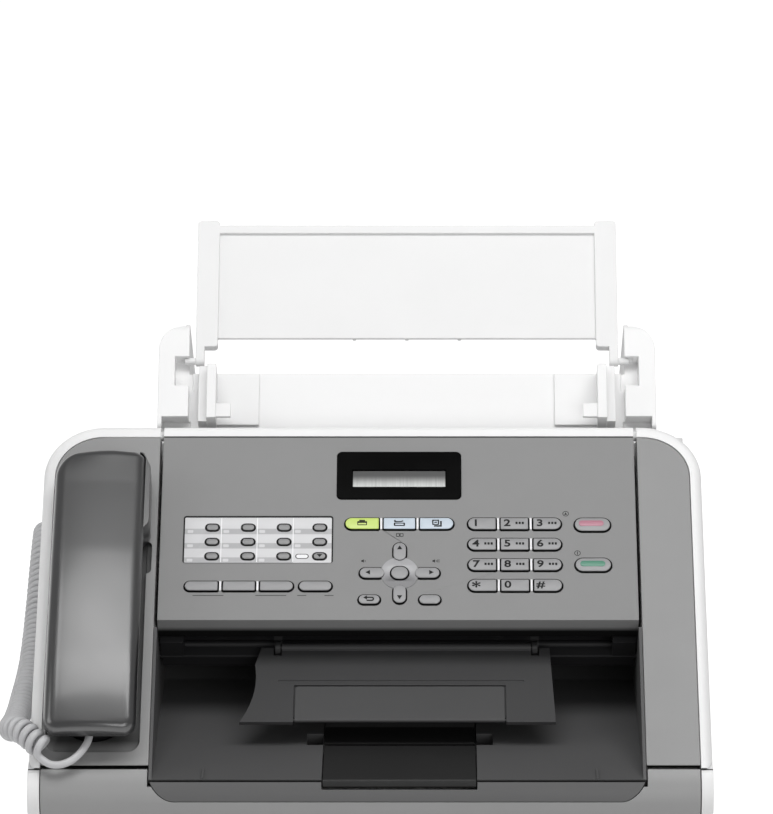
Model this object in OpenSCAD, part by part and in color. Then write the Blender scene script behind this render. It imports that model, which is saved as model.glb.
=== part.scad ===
// Desktop laser fax machine with a corded handset, in millimetres.
// X runs to the right, Y to the back and Z up. The origin is on the desk under the middle of the body.

/* [Body] */
// Width of the body
body_w = 368; // [366:1:370]
// Depth of the body
body_d = 366; // [366:1:368]
// Height of the seam between the covers and the sloping top
seam_z = 181; // [180:1:182]
// Tilt of the sloping top, in degrees
slope = 25; // [24:1:26]
// Width of the white rim round the sloping top
rim_w = 6.5; // [6:0.5:7]
// Corner radius of the rim
corner_r = 33; // [30:1:36]
// Rounding of the rim's outer edge
edge_r = 5; // [4:0.5:5]

/* [Control panel] */
// Left edge of the panel
panel_x0 = -117.5; // [-118:0.5:-117]
// Right edge of the panel
panel_x1 = 146.5; // [146:0.5:147]
// Thickness of the panel
panel_h = 16; // [15:0.5:17]
// Height of the keys above the panel
key_up = 1.4; // [1:0.1:2]
// Gap round a key
key_gap = 0.55; // [0.3:0.05:0.6]

/* [Document path] */
// Distance between the paper guides, for the widest sheet
guide_span = 216; // [210:1:216]
// Length of the fold-out document support
support_len = 88; // [80:1:90]
// Lean of the document tray back from vertical, in degrees
tray_lean = 54; // [52:1:56]

/* [Paper cassette] */
// Inside width of the cassette
cassette_in_w = 217; // [216:1:219]
// Height of the cassette's front
cassette_front_h = 50; // [48:1:51]

/* [Handset] */
// Width of the handset
handset_w = 48; // [46:1:49]
// Length of the handset
handset_len = 181; // [178:1:183]
// Height of the handset above the sloping top
handset_h = 28; // [26:1:29]

/* [Cord] */
// Thickness of the cord
cord_d = 4.2; // [4:0.1:4.4]
// Outer diameter of the curly stretch
coil_d = 15; // [14:0.5:15]

/* [Hidden] */
$fn = 48;

half_w = body_w / 2;
half_d = body_d / 2;
wall = 3;
gap = 0.3;
foot_h = 4;
base_z = foot_h;
seam_y = -170;                 // the sloping top starts here, at seam_z
inner_w = half_w - rim_w;      // half width inside the rim
well_x0 = -119.3;              // the well between the two decks
well_x1 = 148.2;
deck_t = 3;                    // thickness of the grey decks
panel_t0 = 94;                 // front edge of the panel, along the slope
ridge_t = 216.5;               // dark line between the panel and the white ridge
top_t = 225.1;                 // rear end of the slope
hinge_t = top_t - edge_r;      // the panel turns about the middle of the ridge's rounding
hinge_h = -edge_r;
pin_r = 2.6;
switch_axis = [179, 140, 100];
path_x = 19;                   // middle of the document path
wing_x0 = -122.4;
wing_x1 = 160.5;
tray_y = 52;                   // foot of the document tray's floor
tray_z = 263.4;
wing_h = 8;                    // the wings stand this far above the floor
wing_top_q = 59;
support_q = 40;                // hinge of the document support, up the tray
support_h = 6;
support_axis_h = 3.2;          // height of the support's hinge above the floor
support_w = 242;
shoulder_slope = 25;           // fall of the housing behind the ridge
front_r = 18;                  // the top rolls over into the front with this radius
front_edge = [-half_d, seam_z - (half_d + seam_y) * tan(slope)];
housing_z = seam_z - 0.2;      // lower edge of the upper housing
side_top = seam_z - 0.8;       // upper edge of the side covers
deck_t0 = 2.3;                 // front edge of the decks
cover_z0 = 81;                 // bottom of the front cover
manual_z0 = 60;                // bottom of the manual feed cover

// ---- plane geometry -------------------------------------------------------------------------

function unit(v) = v / norm(v);
function cross2(a, b) = a.x * b.y - a.y * b.x;
function half_angle(a, b, c) = acos(unit(a - b) * unit(c - b)) / 2;
function reach(a, b, c, r) = r / tan(half_angle(a, b, c));
function round_centre(a, b, c, r) =
    b + unit(unit(a - b) + unit(c - b)) * r / sin(half_angle(a, b, c));

// A point of the sloping top, t up the slope and h above it, as [Y, Z].
function on_top(t, h) = [seam_y + t * cos(slope) - h * sin(slope), seam_z + t * sin(slope) + h * cos(slope)];

// A point of the document tray, q up its floor and h above it, as [Y, Z].
function on_tray(q, h) =
    [tray_y + q * sin(tray_lean) - h * cos(tray_lean), tray_z + q * cos(tray_lean) + h * sin(tray_lean)];

// An outline, anticlockwise, whose corners have the radii r, with true arcs.
module soft_polygon(p, r) {
    n = len(p);
    corners = [for (i = [0 : n - 1]) [p[(i + n - 1) % n], p[i], p[(i + 1) % n], r[i]]];
    difference() {
        union() {
            polygon([for (k = corners) each k[3] == 0 ? [k[1]] : [
                k[1] + unit(k[0] - k[1]) * reach(k[0], k[1], k[2], k[3]),
                k[1] + unit(k[2] - k[1]) * reach(k[0], k[1], k[2], k[3])]]);
            for (k = corners) if (k[3] > 0 && cross2(k[1] - k[0], k[2] - k[1]) > 0)
                translate(round_centre(k[0], k[1], k[2], k[3])) circle(r = k[3]);
        }
        for (k = corners) if (k[3] > 0 && cross2(k[1] - k[0], k[2] - k[1]) < 0)
            translate(round_centre(k[0], k[1], k[2], k[3])) circle(r = k[3]);
    }
}

// A rectangle with rounded corners, between two opposite corners.
module round_rect(x0, x1, y0, y1, r) {
    translate([x0 + r, y0]) square([x1 - x0 - 2 * r, y1 - y0]);
    translate([x0, y0 + r]) square([x1 - x0, y1 - y0 - 2 * r]);
    for (x = [x0 + r, x1 - r], y = [y0 + r, y1 - r]) translate([x, y]) circle(r = r);
}

module rect(x0, x1, y0, y1) translate([x0, y0]) square([x1 - x0, y1 - y0]);

module box(x0, x1, y0, y1, z0, z1) translate([x0, y0, z0]) cube([x1 - x0, y1 - y0, z1 - z0]);

// Extrudes a Y-Z outline from x0 to x1.
module across(x0, x1) translate([x0, 0, 0]) rotate([90, 0, 90]) linear_extrude(x1 - x0) children();

// Puts its children on the sloping top: their Y runs up the slope and their Z out of it.
module place_on_top() translate([0, seam_y, seam_z]) rotate([slope, 0, 0]) children();

// Puts its children on the document tray's floor.
module place_on_tray() translate([0, tray_y, tray_z]) rotate([90 - tray_lean, 0, 0]) children();

// A plate on the sloping top, from h0 to h1.
module on_top_plate(h0, h1) place_on_top() translate([0, 0, h0]) linear_extrude(h1 - h0) children();

// ---- fixed housings -------------------------------------------------------------------------

// The side view of the body's front: the end of the slope rolls over into the upright front.
module front_profile(z0, back) {
    soft_polygon([[-half_d, z0], [back, z0], [back, seam_z], [seam_y, seam_z], front_edge],
        [6, 0, 0, 0, front_r]);
}

module base_frame() color([0.83, 0.83, 0.82]) {
    chassis();
    toner_rails();
}

module chassis() difference() {
    union() {
        box(-177.2, 177.2, -160, half_d, base_z, housing_z);
        // front fascia on both sides of the cassette
        for (s = [-1, 1]) across(s > 0 ? 129.5 : -177.2, s > 0 ? 177.2 : -129.5)
            soft_polygon([[-half_d, base_z], [-159, base_z], [-159, cover_z0 - 1.5], [-half_d, cover_z0 - 1.5]],
                [6, 0, 0, 0]);
        box(-130, 130, -176, -159, 59, cover_z0 - 1.5);
    }
    // bay of the paper cassette
    box(-124, 124, -161, 158, 8, 58);
    // bay of the toner cartridge, open to the front
    box(-142, 142, -161, 12, 82, 146);
    // manual feed slot
    box(-112, 112, -177, -60, 64, 74);
    // well of the output tray
    across(well_x0 - 0.4, well_x1 + 0.4)
        polygon([[-161, 171.5], [-150, 169], [-44, 150.3], [14, 150.3], [14, 182], [-161, 182]]);
    across(flap_x0 - 4, flap_x1 + 4) polygon([[-161, 164], [-119, 157], [-119, 175], [-161, 175]]);
    across(flap_x0 - 12, flap_x1 + 12) polygon([[-136, 159], [-111, 155], [-111, 175], [-136, 175]]);
    // room for the underside of the cradle
    across(-176.3, -121) polygon([[-161.5, 169.6], on_top(30.5, -14), [-161.5, 182]]);
    // fuser bay behind the rear cover
    box(-121, 121, 120, half_d + 1, 68, 166);
    // finger grips at the sides of the bottom
    for (s = [-1, 1]) box(s > 0 ? 150 : -178, s > 0 ? 178 : -150, -40, 40, 3, 18);
    rear_sockets();
    // pockets behind the handset's socket and the power switch
    box(-178, -164, jack_y - 5.5, jack_y + 5.5, jack_z - 5, jack_z + 5);
    box(166, 178, 127, 153, 91, 109);
}

// Rails that the toner cartridge rests on.
module toner_rails() for (s = [-1, 1]) box(s * 127 - 6, s * 127 + 6, -108, -8, 81, 86);

// Line and extension sockets on the left of the back, power inlet on the right of it.
module rear_sockets() {
    for (z = [60, 82]) box(-160, -147, half_d - 12, half_d + 1, z, z + 12);
    box(138, 164, half_d - 16, half_d + 1, 40, 60);
}

// The sloping slab with rolled edges: a plate whose sides and rear edge are rounded by edge_r.
module rolled_slab(depth) place_on_top() {
    r = edge_r;
    c = corner_r;
    translate([0, 0, -depth]) linear_extrude(depth - r) union() {
        rect(-half_w, half_w, -40, top_t - c);
        rect(-half_w + c, half_w - c, -40, top_t);
        for (s = [-1, 1]) translate([s * (half_w - c), top_t - c]) circle(r = c, $fn = 96);
    }
    translate([0, 0, -r - 0.01]) linear_extrude(r + 0.01) union() {
        rect(-half_w + r, half_w - r, -40, top_t - c);
        rect(-half_w + c, half_w - c, -40, top_t - r);
        for (s = [-1, 1]) translate([s * (half_w - c), top_t - c]) circle(r = c - r, $fn = 96);
    }
    for (s = [-1, 1]) {
        translate([s * (half_w - r), -40, -r]) rotate([-90, 0, 0]) cylinder(r = r, h = 40 + top_t - c);
        translate([s * (half_w - c), top_t - c, -r]) rotate([0, 0, s > 0 ? 0 : 90])
            rotate_extrude(angle = 90, $fn = 96) translate([c - r, 0]) circle(r = r);
    }
    translate([-half_w + c, top_t - r, -r]) rotate([0, 90, 0]) cylinder(r = r, h = body_w - 2 * c);
}

// The housing behind the ridge: it falls to the back, and its long edges are well rounded.
module shoulder() intersection() {
    across(-half_w, half_w) intersection() {
        soft_polygon([[0, 80], [half_d, 80], [half_d, 187], [44, 187 + 139 * tan(shoulder_slope)],
            [0, 187 + 139 * tan(shoulder_slope)]], [0, 0, 8, 40, 0]);
        rect(0, half_d, housing_z, 300);
    }
    translate([0, half_d, 187]) rotate([-shoulder_slope, 0, 0]) translate([0, -220, -90])
        rotate([-90, 0, 0]) mirror([0, 1, 0]) linear_extrude(300) union() {
            rect(-half_w, half_w, -60, 90 - 32);
            rect(-half_w + 32, half_w - 32, -60, 90);
            for (s = [-1, 1]) translate([s * (half_w - 32), 90 - 32]) circle(r = 32, $fn = 96);
        }
}

module upper_housing() color([0.93, 0.93, 0.92]) difference() {
    union() {
        intersection() {
            rolled_slab(112);
            across(-half_w, half_w) polygon([on_top(-0.4, 4), on_top(-0.4, 0), [-168, housing_z],
                [140, housing_z], [140, 300], [-100, 300]]);
        }
        shoulder();
    }
    // well between the decks, for the panel, the scanner and the output tray
    across(well_x0, well_x1) polygon([[-190, 170], [36, 170], on_top(218, -64), on_top(218, -24),
        on_top(top_t + 3, -24), on_top(top_t + 3, 9), [-190, 300]]);
    // opening for the document tray
    box(wing_x0 - gap, wing_x1 + gap, 36, 172, 170, 300);
    // seats of the decks
    deck_seat(-inner_w, well_x0 + 1, deck_t);
    deck_seat(well_x1 - 1, inner_w, deck_t);
    // opening for the underside of the cradle
    on_top_plate(-30, 6) round_rect(-inner_w + 2 - gap, -122.5 + gap, 3 - gap, 199 + gap, 10 + gap);
    // hollow inside
    for (k = [[half_w - wall, 186], [half_w - corner_r, 212]]) {
        across(-k[0], well_x0 - 2) hollow_profile(k[1]);
        across(well_x1 + 2, k[0]) hollow_profile(k[1]);
    }
    // joint between the decks and the front cover
    on_top_plate(-40, 6) rect(-inner_w, inner_w, -20, deck_t0);
    // bearings of the panel's hinge pins
    place_on_top() translate([-122, hinge_t, hinge_h]) rotate([0, 90, 0]) cylinder(r = pin_r + gap, h = 275);
}

module hollow_profile(t) polygon([[-154, seam_z - 3], [on_top(t, -6).x, seam_z - 3], on_top(t, -6), on_top(18, -6)]);

// Outline of the grey decks inside the rim, in the plane of the slope.
module deck_area(x0, x1, t0, grow) {
    r = corner_r - rim_w;
    t1 = ridge_t + grow;
    intersection() {
        rect(x0, x1, t0, t1);
        union() {
            rect(-inner_w - grow, inner_w + grow, t0, t1 - r);
            rect(-inner_w + r, inner_w - r, t0, t1);
            for (s = [-1, 1]) translate([s * (inner_w - r), t1 - r]) circle(r = r + grow, $fn = 96);
        }
    }
}

module deck_seat(x0, x1, depth) on_top_plate(-depth, 6) deck_area(x0, x1, -20, 0);

// Grey deck on the left, with the pocket that the handset lies in and its two cups.
module handset_cradle() color([0.6, 0.6, 0.6]) difference() {
    union() {
        on_top_plate(-deck_t + 0.05, 0) deck_area(-inner_w + gap, well_x0, deck_t0, -gap);
        on_top_plate(-13.5, -1) intersection() {
            deck_area(-inner_w + 2, well_x0 - 3, 6, -2);
            round_rect(-inner_w + 2, -122.5, 6, 199, 10);
        }
    }
    // shallow pocket along the whole handset
    on_top_plate(-pocket_h, 1) handset_outline(1.4);
    // cups for the mouthpiece and the earpiece
    for (t = [40, 168]) place_on_top() translate([handset_x, t, -11.5]) cylinder(r = 21.5, h = 12);
    // finger pocket beside the earpiece
    on_top_plate(-2.2, 1) round_rect(-132, -121.9, 125, 146, 3);
    // slot of the hook switch
    on_top_plate(-20, 1) rect(handset_x - 4.4, handset_x + 4.4, 98, 114);
}

module right_deck() color([0.63, 0.63, 0.63])
    on_top_plate(-deck_t + 0.05, 0) deck_area(well_x1, inner_w - gap, deck_t0, -gap);

// A white side cover, drawn for the right: a shallow tray open to the inside, with vents low down.
module side_cover() difference() {
    across(inner_w, half_w) intersection() {
        soft_polygon([[-half_d, 6], [half_d, 6], [half_d, side_top],
            [seam_y - (seam_z - side_top) / tan(slope), side_top], front_edge], [8, 8, 0, 0, front_r]);
        rect(-half_d, half_d, 6, side_top);
    }
    across(inner_w - 1, half_w - 2.5) soft_polygon([[-176, 10], [179, 10], [179, 172], [-168, 172], [-178, 162]],
        [6, 4, 2, 4, 6]);
    for (i = [0 : 9]) box(180, 185, 60 + i * 9, 64 + i * 9, 30, 62);
    // finger grip
    across(176, 190) soft_polygon([[-36, 0], [36, 0], [36, 18], [-36, 18]], [0, 0, 6, 6]);
}

module left_side_cover() color([0.95, 0.95, 0.94]) difference() {
    mirror([1, 0, 0]) side_cover();
    // socket for the handset's plug
    box(-190, -176, jack_y - 6.5, jack_y + 6.5, jack_z - 6, jack_z + 6);
}

module right_side_cover() color([0.95, 0.95, 0.94]) difference() {
    side_cover();
    box(170, 190, 128.7, 151.3, 92.7, 107.3);
}

// ---- document tray --------------------------------------------------------------------------

module tray_profile() {
    soft_polygon([[46, 226], [140, housing_z], [171.6, housing_z], [171.6, 205], on_tray(wing_top_q, wing_h) + [6, -1],
        on_tray(wing_top_q, wing_h), on_tray(-2, wing_h)], [0, 0, 0, 14, 6, 6, 3]);
}

// White document tray: two wings with the leaning floor between them, and a bay for the folded support.
module document_tray() color([0.93, 0.93, 0.92]) difference() {
    across(wing_x0, wing_x1) tray_profile();
    // rounded outer corners of the wings
    for (s = [-1, 1]) wing_corner(s);
    // floor between the wings
    across(path_x - 124, path_x + 124) polygon([on_tray(-30, 0), on_tray(support_q - 6, 0),
        on_tray(support_q - 6, 30), on_tray(-30, 40)]);
    // bay behind the hinge, where the support lies when it is folded back
    across(path_x - 124, path_x + 124) polygon([on_tray(support_q - 6.01, -3), [146, 214],
        [182, 214], [182, 320], on_tray(support_q - 6.01, 60)]);
    // passage of the sheet, down behind the ridge
    across(path_x - 112, path_x + 112) polygon([on_tray(-30, -3), on_tray(0, 0), on_tray(0, 30), on_tray(-30, 30)]);
    // pockets in the wings for the support's lugs, and slots at their feet
    for (s = [-1, 1]) place_on_tray() {
        translate([0, 0, -1.5]) linear_extrude(12)
            rect(path_x + s * 127 - 5, path_x + s * 127 + 5, 23, 41);
        translate([0, 0, -1.5]) linear_extrude(12)
            rect(path_x + s * 131 - 8, path_x + s * 131 + 8, -10, 3.6);
        // hinge bore
        translate([path_x + s * 122, support_q, support_axis_h]) rotate([0, 90, 0])
            cylinder(r = 2.3, h = 14, center = true);
    }
    // hollow underside
    across(wing_x0 + 4, wing_x1 - 4) polygon([[52, 200], [144, 170], [166, 170], [166, 198], [120, 222], [60, 246]]);
}

// What is cut off a wing's outer upper corner.
module wing_corner(s) {
    r = 15;
    x = s > 0 ? wing_x1 : wing_x0;
    place_on_tray() translate([0, 0, -80]) linear_extrude(120) difference() {
        rect(s > 0 ? x - r : x - 1, s > 0 ? x + 1 : x + r, wing_top_q - r + 2, wing_top_q + 60);
        translate([x - s * r, wing_top_q - r + 2]) circle(r = r);
    }
}

// A guide, drawn for the right: its foot, its fin and the hook that keeps the sheet's edge down.
module document_guide(s) place_on_tray() {
    x = path_x + s * guide_span / 2;
    xs = [for (d = [0, 5.3, 10.3]) x + s * d];
    translate([0, 0, 0.3]) linear_extrude(1.7) rect(min(x - s * 24, xs[2]), max(x - s * 24, xs[2]), 1, 33);
    translate([0, 0, 0.3]) linear_extrude(17) rect(min(xs[0], xs[1]), max(xs[0], xs[1]), -1, 32.4);
    translate([0, 0, 0.3]) linear_extrude(9) rect(min(xs[1], xs[2]), max(xs[1], xs[2]), 0, 34.5);
    translate([0, 0, 13.3]) linear_extrude(2.2)
        rect(min(x - s * 8.4, xs[0]), max(x - s * 8.4, xs[0]), 0.2, 8.6);
}

module document_guide_left() color([0.9, 0.9, 0.9]) document_guide(-1);

module document_guide_right() color([0.9, 0.9, 0.9]) document_guide(1);

// Fold-out document support: two rails, a thin web and a cross rail at the top.
module document_support() color([0.92, 0.92, 0.93]) place_on_tray() {
    x0 = path_x - support_w / 2 + 0.5;
    x1 = path_x + support_w / 2 - 0.5;
    end_q = support_q + support_len;
    translate([0, 0, 0.2]) {
        for (x = [x0, x1 - 12.5]) translate([x, support_q + 2, 0]) linear_extrude(support_h)
            round_rect(0, 12.5, 6, support_len - 2, 2);
        translate([0, 0, 2]) linear_extrude(2) rect(x0 + 12, x1 - 12, support_q + 14, end_q - 6);
        linear_extrude(support_h) rect(x0 + 6, x1 - 6, end_q - 8, end_q - 3);
        for (i = [1 : 3]) translate([0, 0, 0.5]) linear_extrude(2)
            rect(path_x - 60 + i * 30 - 1, path_x - 60 + i * 30 + 1, support_q + 14, end_q - 6);
        // lugs round the hinge
        for (s = [-1, 1]) {
            translate([path_x + s * 118, support_q, support_h / 2]) rotate([0, 90, 0])
                cylinder(r = support_h / 2, h = 5, center = true);
            linear_extrude(support_h)
                rect(path_x + s * 118 - 2.5, path_x + s * 118 + 2.5, support_q, support_q + 9);
        }
    }
    for (s = [-1, 1]) translate([path_x + s * 122, support_q, support_axis_h]) rotate([0, 90, 0])
        cylinder(r = 2, h = 9, center = true);
}

// ---- scanner --------------------------------------------------------------------------------

frame_x0 = -119;
frame_x1 = 147.9;
exit_x1 = 132.6;               // right end of the scanned sheets' exit

// Lower half of the sheet scanner: exit lip, glass bed and bearings of the feed roller.
module scanner_frame() color([0.22, 0.22, 0.23]) {
    difference() {
        union() {
            across(frame_x0, frame_x1) soft_polygon([on_top(99, -33.8), on_top(218, -36), on_top(218, -21),
                on_top(122, -20), on_top(115, -31), on_top(90.5, -31), on_top(90.5, -33.6)], [2, 2, 0, 3, 3, 1, 1]);
            // bar below the exit
            across(frame_x0 + 3, frame_x1 - 3) soft_polygon([on_top(90.5, -32), on_top(90.5, -41),
                on_top(93.5, -41), on_top(101, -33), on_top(101, -32)], [0, 1, 1, 0, 0]);
        }
        // bed of the glass
        on_top_plate(-22, -15) rect(path_x - 110, path_x + 110, 128, 146);
        on_top_plate(-40, -15) rect(path_x - 106, path_x + 106, 132, 142);
        // trough of the feed roller
        place_on_top() translate([path_x - 21, 176, -16]) rotate([0, 90, 0]) cylinder(r = 10.4, h = 42);
        place_on_top() translate([path_x - 30, 176, -16]) rotate([0, 90, 0]) cylinder(r = 3.3, h = 60);
        on_top_plate(-16, -12) rect(path_x - 30, path_x + 30, 172.7, 179.3);
    }
    // glass
    on_top_plate(-22, -20.2) rect(path_x - 110, path_x + 110, 128, 146);
    // lugs and pins that carry the document output support
    for (s = [-1, 1]) {
        x = s > 0 ? 88.4 : -53.4;
        across(x, x + 3) soft_polygon([plate_rear + [-2.4, -2.2], plate_rear + [0, -6], plate_rear + [8, -4],
            plate_rear + [8, -1], plate_rear + [2, 2.2], plate_rear + [-2.4, 2.2]], [1, 0, 0, 1, 1, 2]);
        across(s > 0 ? 85 : -51, s > 0 ? 89 : -47) translate(plate_rear) circle(r = 1.1);
    }
    // end blocks beside the exit
    for (x = [frame_x0 + 2.5, exit_x1]) on_top_plate(-31.5, -17.2) rect(x, x + 12.8, 91, 124);
}

module feed_roller() color([0.25, 0.25, 0.26]) place_on_top() translate([path_x, 176, -16]) rotate([0, 90, 0]) {
    cylinder(r = 3, h = 58, center = true);
    for (i = [-1, 1]) translate([0, 0, i * 10.5]) difference() {
        cylinder(r = 9.6, h = 15, center = true);
        for (a = [0 : 20 : 340]) rotate([0, 0, a]) translate([9.7, 0, 0]) cube([0.8, 0.9, 16], center = true);
    }
}

// ---- output tray ----------------------------------------------------------------------------

tray_front = [-176.2, 178.1];
tray_back = [-42, 154.4];
flap_x0 = -25.7;
flap_x1 = 56.7;

// Dark output tray: floor, side walls, and a pan that the flap lies in.
module output_tray() color([0.27, 0.27, 0.28]) difference() {
    union() {
        tray_shell();
        across(flap_x0 - 3, flap_x1 + 3)
            polygon([[-168, 176], [-168, 167.5], [-128, 160.7], [-122, 163], [-122, 167.5]]);
        // bottoms of the notches beside the flap
        across(flap_x0 - 11, flap_x1 + 11) polygon([[-134, 160.6], [-113.5, 156.9], [-113.5, 165], [-134, 168.7]]);
        // small ribs at the front edge
        for (x = [-90.8, 121.1]) across(x, x + 1.4) polygon([[-175.5, 177.6], [-175.5, 179], [-164, 177], [-164, 175]]);
        // hinge lugs of the flap
        for (x = [flap_x0 - 5, flap_x1 + 0.5]) across(x, x + 4.5)
            polygon([[-176, 177.5], [-176, 172.5], [-166, 171], [-166, 175.8]]);
    }
    // bay of the output flap
    across(flap_x0 - 0.5, flap_x1 + 0.5) {
        polygon([[-172, 171], [-130, 163.9], [-128.6, 165], [-128.6, 175], [-172, 190]]);
        translate(flap_axis) circle(r = flap_sweep);
    }
    // seats of the flap's pins
    across(flap_x0 - 4, flap_x1 + 4) translate(flap_axis) circle(r = 1.8);
    // notches beside the flap, and the lines that carry its outline on to the back
    for (x = [flap_x0 - 9.5, flap_x1 + 0.6]) across(x, x + 9)
        polygon([[-131, 162.8], [-116.5, 160.3], [-116.5, 180], [-131, 180]]);
    for (x = [flap_x0 - 0.5, flap_x1 - 0.3]) across(x, x + 0.8)
        polygon([[-131, 168.8], [-98, 162.8], [-98, 180], [-131, 180]]);
    // slot that the sheets come out of
    box(path_x - 118, path_x + 118, 6, 14, 166, 174);
}

module tray_shell() difference() {
    across(well_x0 + 0.2, well_x1 - 0.2) polygon([tray_front, [-176.2, 175.6], [-150, 171], [-44, 151.8], [12, 151.8],
        [12, 190], on_top(206, -35.9), on_top(99, -34), on_top(90.2, -34), on_top(90.2, 0), tray_front]);
    // the hollow that the sheets land in
    across(well_x0 + 2, well_x1 - 2) soft_polygon([[-190, tray_front.y + 2.6], tray_back, [-8, 154.4], [8, 164], [8, 184],
        on_top(210, -34), on_top(88, 20), [-190, 200]], [0, 20, 14, 3, 0, 0, 0, 0]);
}

flap_axis = [-172.5, 174.6];
flap_sweep = 6.6;              // the flap's nose turns inside this radius

// Flap in the output tray: it turns forward and up to stop the sheets.
module output_flap() color([0.22, 0.22, 0.23]) {
    flap_plate();
    across(flap_x0 - 3, flap_x0 + 1) translate(flap_axis) circle(r = 1.5);
    across(flap_x1 - 1, flap_x1 + 3) translate(flap_axis) circle(r = 1.5);
}

module flap_plate() difference() {
    across(flap_x0, flap_x1) soft_polygon([[-178.4, 173.4], [-170, 172.6], [-131, 165.9], [-130, 169.4], [-168, 176.4],
        [-177.2, 178.6]], [2, 0, 1, 1, 0, 2]);
    // ribs are left under the plate
    for (i = [0 : 4]) across(flap_x0 + 3 + i * 16, flap_x0 + 15 + i * 16)
        polygon([[-164, 170.2], [-134, 164.9], [-134, 167.8], [-164, 173.2]]);
}

plate_rear = [-74.5, 196.7];
plate_tilt = 12;
plate_len = 57.1;
plate_bay = 29;                // the fold-out flap's bay starts this far from the hinge

// Puts its children on the document output support: their Y runs to its front edge, their Z up.
module place_on_plate() translate([0, plate_rear.x, plate_rear.y]) rotate([plate_tilt, 0, 0]) mirror([0, 1, 0]) children();

module plate_outline(inset) {
    difference() {
        polygon([[-61 + inset, 0], [98 - inset, 0], [100.5 - inset, plate_len - inset], [-75 + inset, plate_len - inset]]);
        translate([-134 + inset, 23.8]) circle(r = 70.5, $fn = 96);
    }
}

module document_output_support() color([0.3, 0.3, 0.31]) difference() {
    union() {
        place_on_plate() translate([0, 0, -2.4]) linear_extrude(2.4) plate_outline(0);
        across(-50, 88) translate(plate_rear) circle(r = 2.2);
        for (x = [-47, 82]) place_on_plate() translate([x, 2, -5]) cube([3, plate_len - 10, 3]);
    }
    // bores of its pins, and room for the lugs
    for (x = [-51, 84.4]) across(x, x + 4.6) translate(plate_rear) circle(r = 1.4);
    for (x = [-54.2, 87.8]) place_on_plate() translate([x, -3, -6]) cube([4.4, 9, 9]);
    // bay of the fold-out flap, open at the front, with the seats of its pins
    place_on_plate() translate([-42.5, plate_bay, -1.2]) cube([116, plate_len, 3]);
    place_on_plate() translate([-42.5, plate_len - 4, -5]) cube([116, 9, 9]);
    place_on_plate() translate([-44.4, plate_len - 2.4, -1.2]) rotate([0, 90, 0]) cylinder(r = 0.9, h = 120);
    // groove across the plate
    place_on_plate() translate([-51.5, plate_bay - 3.8, -0.6]) cube([135, 1.6, 2]);
}

module document_output_flap() color([0.33, 0.33, 0.34]) place_on_plate() {
    translate([0, 0, -1]) linear_extrude(1) difference() {
        round_rect(-41.7, 72.7, plate_bay + 1, plate_len + 4, 2);
        rect(-50, 80, plate_len - 2.4, plate_len + 8);
    }
    // barrel along its front edge, and its pins
    translate([-41.7, plate_len - 2.4, -1.2]) rotate([0, 90, 0]) cylinder(r = 1.2, h = 114.4);
    translate([-43.9, plate_len - 2.4, -1.2]) rotate([0, 90, 0]) cylinder(r = 0.6, h = 118.8);
}

// ---- front and back -------------------------------------------------------------------------

// Front cover: it turns down to give access to the toner.
module front_cover() color([0.6, 0.6, 0.6]) difference() {
    across(-177, 177) intersection() {
        front_profile(cover_z0, -163);
        polygon([[-190, 70], [-163, 70], [-163, 174], on_top(0, -4), on_top(0, 9), [-190, 195]]);
    }
    // hollow behind the face
    across(-172, 172) soft_polygon([[-179.5, 92], [-160, 92], [-160, 172], [-174, 172], [-179.5, 164]], [2, 0, 0, 2, 2]);
    // seat of the dark lip
    lip_cut(0.25, 3.2);
    // room for the tray's front edge and the flap
    across(well_x0 - 0.4, well_x1 + 0.4) polygon([[-178.4, 182], [-178.4, 170.6], [-160, 167.4], [-160, 182]]);
    across(flap_x0 - 1, flap_x1 + 1) translate(flap_axis) circle(r = flap_sweep + 0.4);
}

// The band of the front that the dark lip covers, to the given depth below the surface.
module lip_cut(grow, depth) difference() {
    on_top_plate(-40, 10) round_rect(well_x0 - grow, well_x1 + grow, -16.5 - grow, 60, 14);
    across(-200, 200) intersection() {
        offset_front(depth);
        rect(-200, 0, 60, 200);
    }
}

// The front's side view, taken back by d.
module offset_front(d) {
    c = round_centre([-half_d, 80], front_edge, [seam_y, seam_z], front_r);
    polygon([[-half_d + d, 0], [0, 0], on_top(170, -d), c + (front_r - d) * [-sin(slope), cos(slope)],
        [-half_d + d, c.y]]);
    translate(c) circle(r = front_r - d);
}

module tray_lip() color([0.3, 0.3, 0.31]) difference() {
    intersection() {
        lip_cut(0, 3);
        across(-200, 200) offset_front(0);
        across(-200, 200) polygon([[-190, 150], [-178.5, 150], [-178.5, 172.8], [-176.4, 172.8],
            [-176.4, 176.4], on_top(-7.6, 2), [-190, 190]]);
    }
    across(flap_x0 - 0.6, flap_x1 + 0.6) {
        translate(flap_axis) circle(r = flap_sweep + 0.4);
        polygon([[-170, 174], [-179.4, 175.4], [-179.8, 184], [-170, 184]]);
    }
}

module manual_feed_cover() color([0.6, 0.6, 0.6]) {
    across(-120, 120) soft_polygon([[-half_d, manual_z0 + 0.3], [-177.6, manual_z0 + 0.3], [-177.6, 77.6], [-half_d, 77.6]],
        [2.6, 2.6, 1, 1]);
    // finger lip at the top
    across(-30, 30) polygon([[-half_d + 0.2, 73], [-half_d + 1, 73], [-half_d + 1, 76.6], [-half_d + 0.2, 76.6]]);
}

module grip_profile() soft_polygon([[-190, 0], [-168, 0], [-168, 20], [-190, 18.8]], [0, 0, 5, 0]);

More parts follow.
